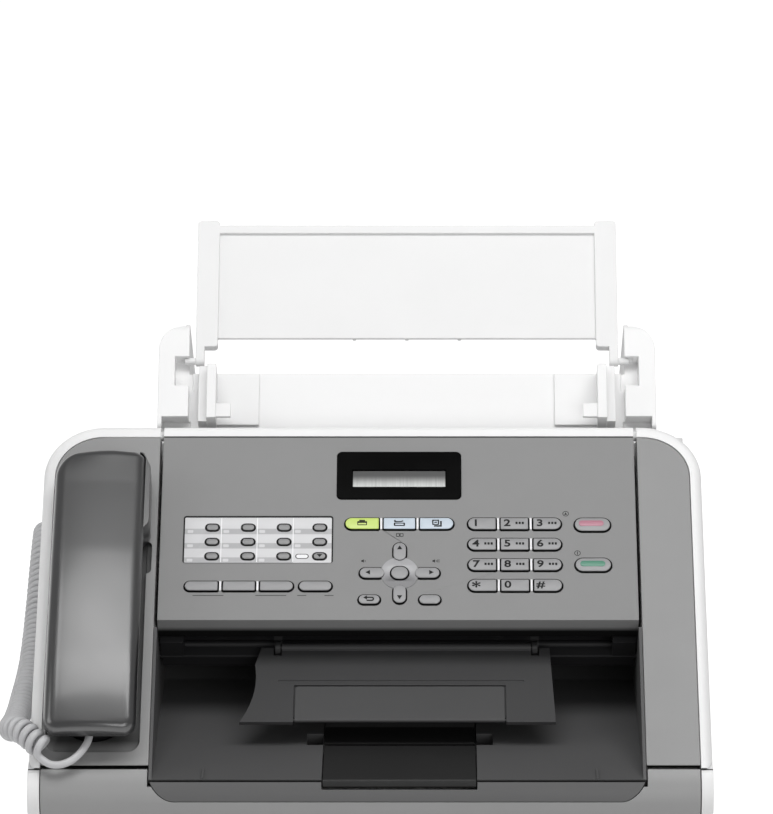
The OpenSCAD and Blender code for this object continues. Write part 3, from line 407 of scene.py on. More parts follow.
def skin(node: str, finish: "Finish", body: str, edge_mm: float, even: bool = False) -> bpy.types.Object:
    """A smooth copy of a CAD node, with small rounded edges, that stands for it.

    Args:
        node: Name of the CAD node.
        finish: Its finish.
        body: Body that it rides on.
        edge_mm: Width of the rounding on its edges.
        even: Whether the triangles of its flat parts are made as even as they can be.

    Returns:
        The new object.
    """
    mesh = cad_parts[node].data.copy()
    mesh.materials.clear()
    mesh.name = node + "_skin"
    with edited(mesh) as work:
        bmesh.ops.remove_doubles(work, verts=work.verts, dist=SAME_CAD_POINT)
        bmesh.ops.dissolve_limit(work, angle_limit=FLAT_TURN, verts=work.verts, edges=work.edges,
                                 use_dissolve_boundaries=False)
        bmesh.ops.triangulate(work, faces=work.faces, ngon_method="BEAUTY")
        if even:
            flat = [edge for edge in work.edges
                    if len(edge.link_faces) == 2 and edge.calc_face_angle(1.0) < EVEN_TURN]
            bmesh.ops.beautify_fill(work, faces=work.faces[:], edges=flat, method="ANGLE")
    sharpen(mesh, SKIN_CREASE)
    piece = add_object(node + "_skin", mesh)
    if edge_mm > 0:
        edge = piece.modifiers.new("edges", "BEVEL")
        edge.width = edge_mm * MM
        edge.segments = 2
        edge.limit_method = "ANGLE"
        edge.angle_limit = math.radians(SKIN_CREASE)
        edge.loop_slide = edge.use_clamp_overlap = False
        piece.modifiers.new("shading", "WEIGHTED_NORMAL").keep_sharp = True
    mount(piece, finish, body, node)
    return piece


# ---- finishes -------------------------------------------------------------------------------


class Node:
    """Short ways to build a node tree."""

    def __init__(self, tree: bpy.types.NodeTree) -> None:
        """Keeps the tree that the nodes go in."""
        self.tree = tree

    def add(self, kind: str, **values: object) -> bpy.types.Node:
        """Adds a node.

        Args:
            kind: The node's type name.
            values: Properties of the node.

        Returns:
            The new node.
        """
        node = self.tree.nodes.new(kind)
        for name, value in values.items():
            setattr(node, name, value)
        return node

    def put(self, value: object, into: Socket) -> None:
        """Links a socket to an input, or sets the input.

        Args:
            value: The socket, number or colour, or None to leave the input as it is.
            into: The input.
        """
        if isinstance(value, Socket):
            self.tree.links.new(value, into)
        elif value is not None:
            into.default_value = (*value, 1.0) if into.type == "RGBA" else value

    def fill(self, node: bpy.types.Node, values: dict[str, object]) -> None:
        """Links or sets several inputs of a node by their names."""
        for name, value in values.items():
            self.put(value, node.inputs[name])

    def math(self, operation: str, a: object, b: object = None, clamp: bool = False) -> Socket:
        """A Math node.

        Args:
            operation: The node's operation.
            a: First number or socket.
            b: Second number or socket.
            clamp: Whether the result is kept between 0 and 1.

        Returns:
            Its output.
        """
        node = self.add("ShaderNodeMath", operation=operation, use_clamp=clamp)
        self.put(a, node.inputs[0])
        self.put(b, node.inputs[1])
        return node.outputs[0]

    def mix(self, factor: Socket, a: object, b: object) -> Socket:
        """A mix of two colours.

        Args:
            factor: How much of the second there is.
            a: First colour or socket.
            b: Second colour or socket.

        Returns:
            Its output.
        """
        node = self.add("ShaderNodeMix", data_type="RGBA")
        for index, value in ((0, factor), (6, a), (7, b)):
            self.put(value, node.inputs[index])
        return node.outputs[2]

    def noise(self, place: Socket, scale: float, detail: float) -> Socket:
        """A noise.

        Args:
            place: Where it is read.
            scale: Scale per metre.
            detail: Octaves.

        Returns:
            Its value, from 0 to 1.
        """
        node = self.add("ShaderNodeTexNoise")
        self.fill(node, {"Vector": place, "Scale": scale, "Detail": detail, "Roughness": 0.55})
        return node.outputs[0]

    def distance(self, place: Socket, way: Point) -> Socket:
        """How far a place lies from the top's seam in one direction: a dot product less the seam's own.

        Args:
            place: The place.
            way: The direction, as a unit vector.

        Returns:
            The distance in millimetres.
        """
        reach = self.add("ShaderNodeVectorMath", operation="DOT_PRODUCT")
        self.put(place, reach.inputs[0])
        reach.inputs[1].default_value = tuple(c / MM for c in way)
        return self.math("SUBTRACT", reach.outputs["Value"], way[1] * SEAM_Y + way[2] * SEAM_Z)

    def stripe(self, value: Socket, limits: Range, blur: float) -> Socket:
        """A mask that is 1 where a value lies between two others, with soft borders.

        Args:
            value: The value.
            limits: Where the mask starts and ends.
            blur: Width of its borders.

        Returns:
            The mask.
        """
        rise = self.math("DIVIDE", self.math("SUBTRACT", value, limits[0]), blur, clamp=True)
        fall = self.math("DIVIDE", self.math("SUBTRACT", limits[1], value), blur, clamp=True)
        return self.math("MULTIPLY", rise, fall)


def moulding_group() -> bpy.types.ShaderNodeTree:
    """Builds the shader group of moulded plastic: spark-eroded grain, faint flow mottling and uneven gloss.

    Returns:
        The group, with the inputs Place, Colour, Mottling, Grain scale and Gloss, and the outputs Colour,
        Roughness and Height.
    """
    tree = bpy.data.node_groups.new("Moulded plastic", "ShaderNodeTree")
    sockets = {"INPUT": {"Place": "Vector", "Colour": "Color", "Mottling": "Float", "Grain scale": "Float",
                         "Gloss": "Float"},
               "OUTPUT": {"Colour": "Color", "Roughness": "Float", "Height": "Float"}}
    for way, kinds in sockets.items():
        for name, kind in kinds.items():
            tree.interface.new_socket(name=name, in_out=way, socket_type="NodeSocket" + kind)
    n = Node(tree)
    inside, outside = n.add("NodeGroupInput"), n.add("NodeGroupOutput")
    place = inside.outputs["Place"]
    cloud = n.math("SUBTRACT", n.math("ADD", n.noise(place, 9.0, 4.0), n.noise(place, 55.0, 2.0)), 1.0)
    shade = n.add("ShaderNodeVectorMath", operation="SCALE")
    n.put(inside.outputs["Colour"], shade.inputs[0])
    n.put(n.math("ADD", n.math("MULTIPLY", cloud, inside.outputs["Mottling"]), 1.0), shade.inputs["Scale"])
    grain = n.add("ShaderNodeTexVoronoi", feature="SMOOTH_F1")
    fine = n.add("ShaderNodeTexNoise")
    for texture in (grain, fine):
        n.fill(texture, {"Vector": place, "Scale": inside.outputs["Grain scale"]})
    patch = n.math("MULTIPLY", n.math("SUBTRACT", n.noise(place, 24.0, 3.0), 0.5), 0.18)
    n.fill(outside, {"Colour": shade.outputs[0],
                     "Roughness": n.math("ADD", inside.outputs["Gloss"], patch, clamp=True),
                     "Height": n.math("ADD", n.math("MULTIPLY", grain.outputs["Distance"], 0.6), fine.outputs[0])})
    return tree


MOULDING = moulding_group()
EVERYWHERE = (-1e4, 1e4)


def new_material(name: str) -> tuple[Node, bpy.types.Node]:
    """Makes a material.

    Args:
        name: Its name.

    Returns:
        Its nodes and its Principled shader.
    """
    material = bpy.data.materials.new(name)
    material.use_nodes = True
    return Node(material.node_tree), material.node_tree.nodes["Principled BSDF"]


@dataclass(frozen=True)
class Zone:
    """A part of the machine that a finish colours in its own way, such as the white ridge of the panel, or where it
    paints shade into the colour, such as the dark seams and the shadow in the handset's pocket.

    Its limits are in millimetres across the machine, up its sloping top and out of that slope. A fade, if it isn't
    zero, is the blur of the limits up the slope.
    """

    colour: Colour
    across: Range = EVERYWHERE
    along: Range = EVERYWHERE
    out: Range = EVERYWHERE
    blur: float = 0.15
    fade: float = 0.0

    def mask(self, n: Node, place: Socket) -> Socket:
        """Works out where a point lies, by its distances along the three directions.

        Args:
            n: The material's nodes.
            place: Object coordinates.

        Returns:
            A mask that is 1 inside the zone.
        """
        cos, sin = math.cos(SLOPE), math.sin(SLOPE)
        mask = None
        for way, limits, blur in (((1.0, 0.0, 0.0), self.across, self.blur),
                                  ((0.0, cos, sin), self.along, self.fade or self.blur),
                                  ((0.0, -sin, cos), self.out, self.blur)):
            if limits != EVERYWHERE:
                stripe = n.stripe(n.distance(place, way), limits, blur)
                mask = stripe if mask is None else n.math("MULTIPLY", mask, stripe)
        return mask


class Finish:
    """The look of a piece: a material, and the record's slot that it belongs to."""

    name: str
    slot: str

    def make(self) -> None:
        """Builds the material."""
        raise NotImplementedError

    def dress(self, piece: bpy.types.Object) -> None:
        """Gives a piece this finish, whose material is made once.

        Args:
            piece: The piece.
        """
        if self.name not in bpy.data.materials:
            self.make()
        piece.data.materials.clear()
        piece.data.materials.append(bpy.data.materials[self.name])


@dataclass(frozen=True)
class Plastic(Finish):
    """A moulded plastic: its colour, gloss, grain and, where a node has them, its zones."""

    name: str
    slot: str
    colour: Colour
    gloss: float = 0.5
    grain_mm: float = 0.7
    depth_mm: float = 0.02
    mottling: float = 0.05
    specular: float = 0.5
    coat: float = 0.0
    zones: tuple[Zone, ...] = ()
    glow: float = 0.0

    def make(self) -> None:
        """Builds the material."""
        n, shader = new_material(self.name)
        place = n.add("ShaderNodeTexCoord").outputs["Object"]
        colour: object = self.colour
        for zone in self.zones:
            colour = n.mix(zone.mask(n, place), colour, zone.colour)
        moulded = n.add("ShaderNodeGroup", node_tree=MOULDING)
        n.fill(moulded, {"Place": place, "Colour": colour, "Mottling": self.mottling,
                         "Grain scale": 1.0 / (self.grain_mm * MM), "Gloss": self.gloss})
        bump = n.add("ShaderNodeBump")
        n.fill(bump, {"Strength": 0.6, "Distance": self.depth_mm * MM, "Height": moulded.outputs["Height"]})
        n.fill(shader, {"Base Color": moulded.outputs["Colour"], "Roughness": moulded.outputs["Roughness"],
                        "Normal": bump.outputs["Normal"], "Specular IOR Level": self.specular,
                        "Coat Weight": self.coat, "Coat Roughness": 0.12})
        if self.glow > 0:
            n.fill(shader, {"Emission Color": moulded.outputs["Colour"], "Emission Strength": self.glow})


@dataclass(frozen=True)
class LiquidCrystal(Finish):
    """The face of the display: a pale grey film of fine upright streaks, in the shade of its window's upper rim."""

    name: str = "Liquid crystal"
    slot: str = "display_black"
    low_t: float = 182.8
    high_t: float = 191.0
    dark: Colour = (0.045, 0.046, 0.046)
    pale: Colour = (0.56, 0.57, 0.56)
    streak_scale: float = 900.0

    def make(self) -> None:
        """Builds the material: a smooth step that falls up the film, times a noise stretched up the slope."""
        n, shader = new_material(self.name)
        place = n.add("ShaderNodeTexCoord").outputs["Object"]
        fall = n.add("ShaderNodeMapRange", interpolation_type="SMOOTHSTEP")
        n.fill(fall, {"Value": n.distance(place, (0.0, math.cos(SLOPE), math.sin(SLOPE))), "From Min": self.low_t,
                      "From Max": self.high_t, "To Min": 1.0, "To Max": 0.0})
        stretch = n.add("ShaderNodeMapping")
        n.fill(stretch, {"Vector": place, "Scale": (1.0, 0.04, 0.04)})
        streaks = n.noise(stretch.outputs["Vector"], self.streak_scale, 2.0)
        shade = n.math("MULTIPLY", fall.outputs[0], n.math("ADD", n.math("MULTIPLY", streaks, 0.7), 0.62), clamp=True)
        n.fill(shader, {"Base Color": n.mix(shade, self.dark, self.pale), "Roughness": 0.3})


def grey(level: float, blue: float = 0.0) -> Colour:
    """A grey, with a little more or less blue in it."""
    return (level, level, level + blue)


# Near black painted on the faces at seams and openings, standing in for the shade that falls in the gaps.
GAP_SHADE_BLACK = grey(0.006)
LABEL_BAND = grey(0.42, 0.01)
# Painted shade: each key cap's side wall, up to 0.78 mm above the panel, near black as the shade in the gap round it.
KEY_SIDE_SHADE = (Zone(grey(0.005), out=(-20.0, 0.78), blur=0.12),)
# A dark line painted on the tray's floor and its lip at the gap between them, as painted shade in that gap.
TRAY_SEAM_SHADE = Zone(GAP_SHADE_BLACK, along=(-7.9, -6.6), out=(-8.0, 1.5))
HINGE_LUGS = tuple(Zone(grey(0.045, 0.001), across=lug, along=(80.0, 104.0), out=(-40.0, -14.0))
                   for lug in ((-54.4, -49.6), (87.6, 92.4)))

WHITE_CASE = Plastic("White case", "white_case", grey(0.81), grain_mm=0.8, mottling=0.02, zones=(
    # Painted shade: dark bands on the white case at the top's seam and in the gap under the deck's front edge.
    Zone(GAP_SHADE_BLACK, along=(-0.4, 0.7), out=(-8.0, 8.0)),
    Zone(GAP_SHADE_BLACK, across=(-177.0, 177.0), along=(-3.0, 2.6), out=(-60.0, -1.5))))
WHITE_BASE = Plastic("White base", "white_case", (0.74, 0.74, 0.73), gloss=0.55, grain_mm=0.9, depth_mm=0.03,
                     mottling=0.02)
GREY_DECK = Plastic("Grey deck", "grey_deck", grey(0.26), gloss=0.48, grain_mm=0.8, zones=(
    # Painted shadow: the pocket under and beside the handset and the deck's sunken walls near black, fading to grey
    # towards the front.
    Zone(grey(0.03), along=(11.0, 400.0), out=(-25.0, -0.22), fade=8.0),
    # Painted shade: the deck's front wall near black, in its seam with the front cover.
    Zone(GAP_SHADE_BLACK, along=(-10.0, 2.7), out=(-25.0, -0.2))))
FRONT_GREY = Plastic("Front grey", "grey_deck", grey(0.30), grain_mm=0.8, zones=(
    # Painted shade: the front cover's top edge near black, in its seam with the deck.
    Zone(GAP_SHADE_BLACK, along=(-0.15, 60.0), out=(-30.0, 8.0)),))
PANEL = Plastic("Panel grey", "panel_grey", grey(0.25), gloss=0.46, grain_mm=0.55, depth_mm=0.015, specular=0.18,
                zones=(Zone(grey(0.004), along=(-50.0, 94.35)), Zone(grey(0.82), along=(216.9, 400.0)),
                       Zone(grey(0.02), along=(216.05, 216.95)),
                       # Painted shade: the walls of the key openings near black, as the shade inside them.
                       Zone(GAP_SHADE_BLACK, along=(96.0, 215.0), out=(-3.4, -0.14), blur=0.1)))
TRAY_DARK = Plastic("Dark tray", "tray_dark", grey(0.076, 0.001), grain_mm=0.8, specular=0.35, zones=(
    Zone(grey(0.012), across=(-25.7, 56.7), along=(30.9, 62.0), out=(-40.0, -18.0)), TRAY_SEAM_SHADE))
LIP_DARK = Plastic("Tray lip", "tray_dark", grey(0.115, 0.001), grain_mm=0.8, specular=0.35, zones=(TRAY_SEAM_SHADE,))
PLATE_DARK = Plastic("Output plate", "tray_dark", grey(0.042, 0.001), specular=0.35)
PLATE_FLAP = replace(PLATE_DARK, name="Plate flap", colour=grey(0.060, 0.001))
FLAP_DARK = replace(PLATE_DARK, name="Output flap", colour=grey(0.018), specular=0.3)
HANDSET_GREY = Plastic("Handset grey", "handset_grey", grey(0.013, 0.001), gloss=0.34, grain_mm=1.1, depth_mm=0.006,
                       specular=1.0, coat=0.55)
FRAME_BLACK = Plastic("Frame black", "frame_black", grey(0.014, 0.001), gloss=0.55, grain_mm=0.9, specular=0.3,
                      zones=HINGE_LUGS)
RUBBER = Plastic("Rubber", "rubber_black", grey(0.025), gloss=0.75, grain_mm=0.5, specular=0.3)
GUIDE_WHITE = Plastic("Guide white", "guide_white", grey(0.78), gloss=0.45, mottling=0.015)
SUPPORT_WHITE = Plastic("Support white", "guide_white", grey(0.75), mottling=0.02)
KEY_GREY = Plastic("Key grey", "key_grey", grey(0.27, 0.005), gloss=0.36, grain_mm=0.9, depth_mm=0.006, zones=KEY_SIDE_SHADE)
KEY_DARK = replace(KEY_GREY, name="One-touch key", colour=grey(0.25, 0.002))
KEY_LIT = Plastic("Lit key", "key_grey", (0.50, 0.63, 0.15), gloss=0.3, depth_mm=0.004, glow=0.06, zones=KEY_SIDE_SHADE)
KEY_PALE = replace(KEY_LIT, name="Pale key", colour=(0.50, 0.57, 0.64), glow=0.0)
STOP_RED = Plastic("Stop mark", "key_grey", (0.41, 0.17, 0.225), gloss=0.32, depth_mm=0.004)
START_GREEN = replace(STOP_RED, name="Start mark", colour=(0.065, 0.225, 0.15))
INK = Plastic("Black ink", "display_black", grey(0.012), gloss=0.6, depth_mm=0.002, specular=0.2)
PAPER_LABEL = Plastic("Label card", "guide_white", grey(0.60, 0.01), gloss=0.4, depth_mm=0.004, mottling=0.04, zones=(
    Zone(LABEL_BAND, along=(150.6, 154.4)), Zone(LABEL_BAND, along=(141.1, 144.9)),
    Zone(LABEL_BAND, across=(-150.0, -43.5), along=(131.0, 135.4))))
LABEL_PATCH = Plastic("Label patch", "guide_white", grey(0.60, 0.01), gloss=0.35, depth_mm=0.003)
LABEL_WHITE = replace(LABEL_PATCH, name="Label field", colour=grey(0.80, 0.01))
SILVER = Plastic("Silver disc", "guide_white", grey(0.36, 0.01), gloss=0.3, depth_mm=0.004, mottling=0.02, zones=(
    # Painted shade: the disc's lower part darker, fading to pale towards its top.
    Zone(grey(0.13, 0.005), along=(90.0, 127.0), blur=7.0),))
DISPLAY_BLACK = Plastic("Display black", "display_black", grey(0.001), gloss=0.2, depth_mm=0.002, specular=0.05)
CORD_GREY = Plastic("Cord jacket", "cord_grey", grey(0.52, 0.01), gloss=0.45, grain_mm=0.6, depth_mm=0.006)


# ---- sub-assemblies -------------------------------------------------------------------------


@dataclass
class Studio:
    """Camera, floor, backdrop and lamps."""

    lens: float = 4800 * 36 / 814
    sensor: float = 36.0
    place: Point = (0.02763, -2.303, 1.6367)
    tilt: float = math.radians(60.0)
    shift: float = -35.5 / 814
    far: float = 50.0
    world_level: float = 0.37
    floor_colour: Colour = grey(0.82)
    floor_glow: float = 0.62

    def build(self) -> None:
        """Builds everything that isn't part of the machine."""
        self.camera()
        self.floor()
        self.world()
        self.lamp("overhead softbox", (0.15, -0.0925, 1.25), (0.0, 0.0), (1.35, 0.375), 7.6)
        self.lamp("front fill", (0.75, -2.1, 1.1), (62.0, 19.0), (1.4, 0.9), 12.6)
        self.lamp("left fill", (-1.9, -0.4, 1.1), (62.0, -78.0), (1.0, 1.0), 7.0)

    def camera(self) -> None:
        """Puts the camera in front and above, looking down by 30 degrees."""
        eye = bpy.data.cameras.new("camera")
        eye.lens = self.lens
        eye.sensor_width = self.sensor
        eye.sensor_fit = "AUTO"
        eye.shift_x = self.shift
        eye.clip_end = self.far
        holder = add_object("camera", eye)
        holder.location = self.place
        holder.rotation_euler = (self.tilt, 0.0, 0.0)
        bpy.context.scene.camera = holder
        bpy.context.scene.view_settings.view_transform = "Standard"

    def floor(self) -> None:
        """Lays a wide pale floor that shows as white where no shadow falls on it."""
        corners = np.array([[[-9.0, -6.0, 0.0], [9.0, -6.0, 0.0]], [[-9.0, 14.0, 0.0], [9.0, 14.0, 0.0]]])
        floor = surface("floor", corners, around=False, capped=False)
        n, shader = new_material("Pale floor")
        rays = n.add("ShaderNodeLightPath").outputs
        seen = n.math("MAXIMUM", rays["Is Camera Ray"],
                      n.math("MAXIMUM", rays["Is Glossy Ray"], rays["Is Transmission Ray"]))
        n.fill(shader, {"Base Color": self.floor_colour, "Roughness": 0.9, "Specular IOR Level": 0.0,
                        "Emission Color": grey(1.0), "Emission Strength": n.math("MULTIPLY", seen, self.floor_glow)})
        floor.data.materials.append(bpy.data.materials["Pale floor"])

    def world(self) -> None:
        """Surrounds the scene with plain white light, full white where the camera sees it."""
        world = bpy.data.worlds.new("studio")
        world.use_nodes = True
        bpy.context.scene.world = world
        n = Node(world.node_tree)
        seen = n.add("ShaderNodeLightPath").outputs["Is Camera Ray"]
        level = n.math("ADD", n.math("MULTIPLY", seen, 1.0 - self.world_level), self.world_level)
        n.fill(world.node_tree.nodes["Background"], {"Color": grey(1.0), "Strength": level})

    def lamp(self, name: str, place: Point, turn: Range, size: Range, watts: float) -> None:
        """Hangs a softbox.

        Args:
            name: Its name.
            place: Where it hangs, in metres.
            turn: How far it leans up from pointing down and turns about the upright, in degrees.
            size: Its width and height, in metres.
            watts: Its power.
        """
        light = bpy.data.lights.new(name, "AREA")
        light.shape = "RECTANGLE"
        light.size, light.size_y = size
        light.energy = watts
        holder = add_object(name, light)
        holder.location = place
        holder.rotation_euler = (math.radians(turn[0]), 0.0, math.radians(turn[1]))


@dataclass
class CurlyCord:
    """The handset's cord: a short plain lead, tight turns down the left side, and a tail into its socket."""

    pitch: float = 4.9
    sides: int = 10
    steps_in_turn: int = 24
    start_turns: float = 0.8
    end_turns: float = 1.3
    spacing: float = 1.25
    end_spacing: float = 1.2
    span_steps: int = 12
    tail_steps: int = 10
    passes: int = 3

    def path(self) -> np.ndarray:
        """The cord's own line.

        Along the coil, a point is the middle line plus the turns' radius times cosine and sine of an angle that
        grows with the way along. The angle's rate rises over the first turn; the radius grows from the lead's end to
        that of a turn, and shrinks to nothing at the tail.

        Returns:
            Points in millimetres, of shape (n, 3).
        """
        middle = evenly(smooth_line(COIL, self.span_steps), self.pitch / self.steps_in_turn)
        count = len(middle)
        ahead, side, other = square_to(middle)
        out = np.array(LEAD[-1]) - middle[0]
        out -= ahead[0] * np.dot(out, ahead[0])
        phase = math.atan2(np.dot(out, other[0]), np.dot(out, side[0]))
        k = np.arange(count)
        rate = np.clip(k / self.steps_in_turn, 0.0, 1.0)
        angle = phase + np.concatenate([[0.0], np.cumsum(rate[1:])]) * 2 * math.pi / self.steps_in_turn
        first, full = np.linalg.norm(out), (COIL_D - CORD_D) / 2
        start = first + (full - first) * np.clip(k / (self.start_turns * self.steps_in_turn), 0.0, 1.0)
        end = np.clip((count - 1 - k) / (self.end_turns * self.steps_in_turn), 0.0, 1.0)
        radius = start * end * end * (3 - 2 * end)
        turns = middle + radius[:, None] * (np.cos(angle)[:, None] * side + np.sin(angle)[:, None] * other)
        lead = evenly(smooth_line(LEAD, self.span_steps), self.end_spacing)
        tail = evenly(smooth_line((tuple(middle[-1]),) + TAIL, self.tail_steps), self.end_spacing)
        return np.concatenate([lead[:-1], turns, tail[1:]])

    def build(self) -> None:
        line = evenly(self.path(), self.spacing)
        for _ in range(self.passes):
            line[1:-1] = (line[:-2] + 2 * line[1:-1] + line[2:]) / 4
        line = evenly(line, self.spacing) * MM
        cord = surface("handset_cord", tube_rings(line, CORD_D / 2 * MM, self.sides))
        CORD_GREY.dress(cord)
        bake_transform(cord)
        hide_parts("handset_lead", "curly_cord")


@dataclass
class Handset:
    """The handset on its cradle: a smooth upper shell, and the lower half that the frame gives.

    The radii of its outline are those of the two front corners and of the left and right rear ones; the radii of its
    top are those of the front and rear edges.
    """

    top: float = 27.0
    base: float = 14.0
    foot: float = 0.8
    shoulder: float = 7.0
    crown: float = 1.4
    overhang: Range = (1.6, 0.4)
    front_r: float = 7.0
    rear_r: Range = (17.0, 6.0)
    top_r: Range = (4.0, 6.0)
    swell: float = 1.2
    droop: float = 5.0
    droop_from: float = 0.62
    fall: float = 4.0
    fall_mm: float = 46.0
    crease: float = 50.0
    crowding: float = 0.9
    stations: int = 110
    across: int = 20

    @staticmethod
    def corner_in(distance: np.ndarray, r: float) -> np.ndarray:
        """How far a rounded corner of radius r draws an outline in, at a distance from its end."""
        d = np.clip(distance, 0.0, r)
        return r - np.sqrt(r * r - (r - d) ** 2)

    def rings(self) -> np.ndarray:
        """The shell's cross-sections.

        Each is a base line, an upright side, a quarter-circle shoulder and a crowned top; half widths and top
        height shrink as quarter circles towards both ends. The top swells by part of a sine wave, droops in a
        straight line over its rear part, and falls by a parabola over its front.

        Returns:
            Points in X, t, h millimetres, of shape (stations, points, 3).
        """
        u = np.linspace(0.0, 1.0, self.stations)
        t = HANDSET_LEN * (u - np.sin(2 * math.pi * u) / (2 * math.pi) * self.crowding)
        f, rest, front = t / HANDSET_LEN, HANDSET_LEN - t, self.corner_in(t, self.front_r)
        left = HANDSET_X - HANDSET_W / 2 - self.overhang[0] + front + self.corner_in(rest, self.rear_r[0])
        right = HANDSET_X + HANDSET_W / 2 + self.overhang[1] - front - self.corner_in(rest, self.rear_r[1])
        top = (self.top + self.swell * np.sin(math.pi * np.minimum(1, f * 1.15))
               - self.droop * np.maximum(0, f - self.droop_from)
               - self.corner_in(t, self.top_r[0]) - self.corner_in(rest, self.top_r[1])
               - self.fall * np.clip(1 - t / self.fall_mm, 0, 1) ** 2)
        middle, half = (left + right) / 2, (right - left) / 2
        r = np.minimum(self.shoulder, np.minimum(half - 0.5, top - self.crown - self.base - 1))
        side, base = (self.base + top - r) / 2, np.full_like(top, self.base)
        r, half_r, shoulder_h = r[:, None], (half - r)[:, None], (top - self.crown - r)[:, None]
        a = np.linspace(0.0, math.pi / 2, 9)
        v = np.linspace(1.0, -1.0, self.across + 2)[1:-1]
        xs = np.concatenate([
            np.stack([half - self.foot, half], -1), half_r + r * np.cos(a), half_r * v, -half_r - r * np.sin(a),
            np.stack([-half, -half + self.foot], -1)], axis=1)
        hs = np.concatenate([
            np.stack([base, side], -1), shoulder_h + r * np.sin(a), top[:, None] - self.crown * v ** 2,
            shoulder_h + r * np.cos(a), np.stack([side, base], -1)], axis=1)
        ts = np.broadcast_to((HANDSET_T0 + t)[:, None], xs.shape)
        return np.stack([middle[:, None] + xs, ts, hs], -1)

    def build(self) -> None:
        """Makes the upper shell, and skins the lower half and the hook switch."""
        shell = surface("handset_upper", on_top(self.rings()))
        sharpen(shell.data, self.crease)
        mount(shell, HANDSET_GREY, "handset", "handset_shell")
        skin("handset_base", HANDSET_GREY, "handset", 0.25, even=True)
        skin("hook_switch", GUIDE_WHITE, "hook_switch", 0.3)
        LOG.info("handset")


@dataclass(frozen=True)
class Key:
    """A key: its node, middle, size, the radii of its left and right corners, and how much narrower than its node
    the cap is on each side, in millimetres."""

    node: str
    x: float
    t: float
    w: float
    d: float
    left: float
    right: float
    sign: str = ""
    finish: Plastic = KEY_GREY
    trim: float = 0.25


class Arrow(Enum):
    """Ways that an arrow printed on a key can point, in radians."""

    RIGHT = 0.0
    UP = math.pi / 2
    LEFT = math.pi
    DOWN = -math.pi / 2


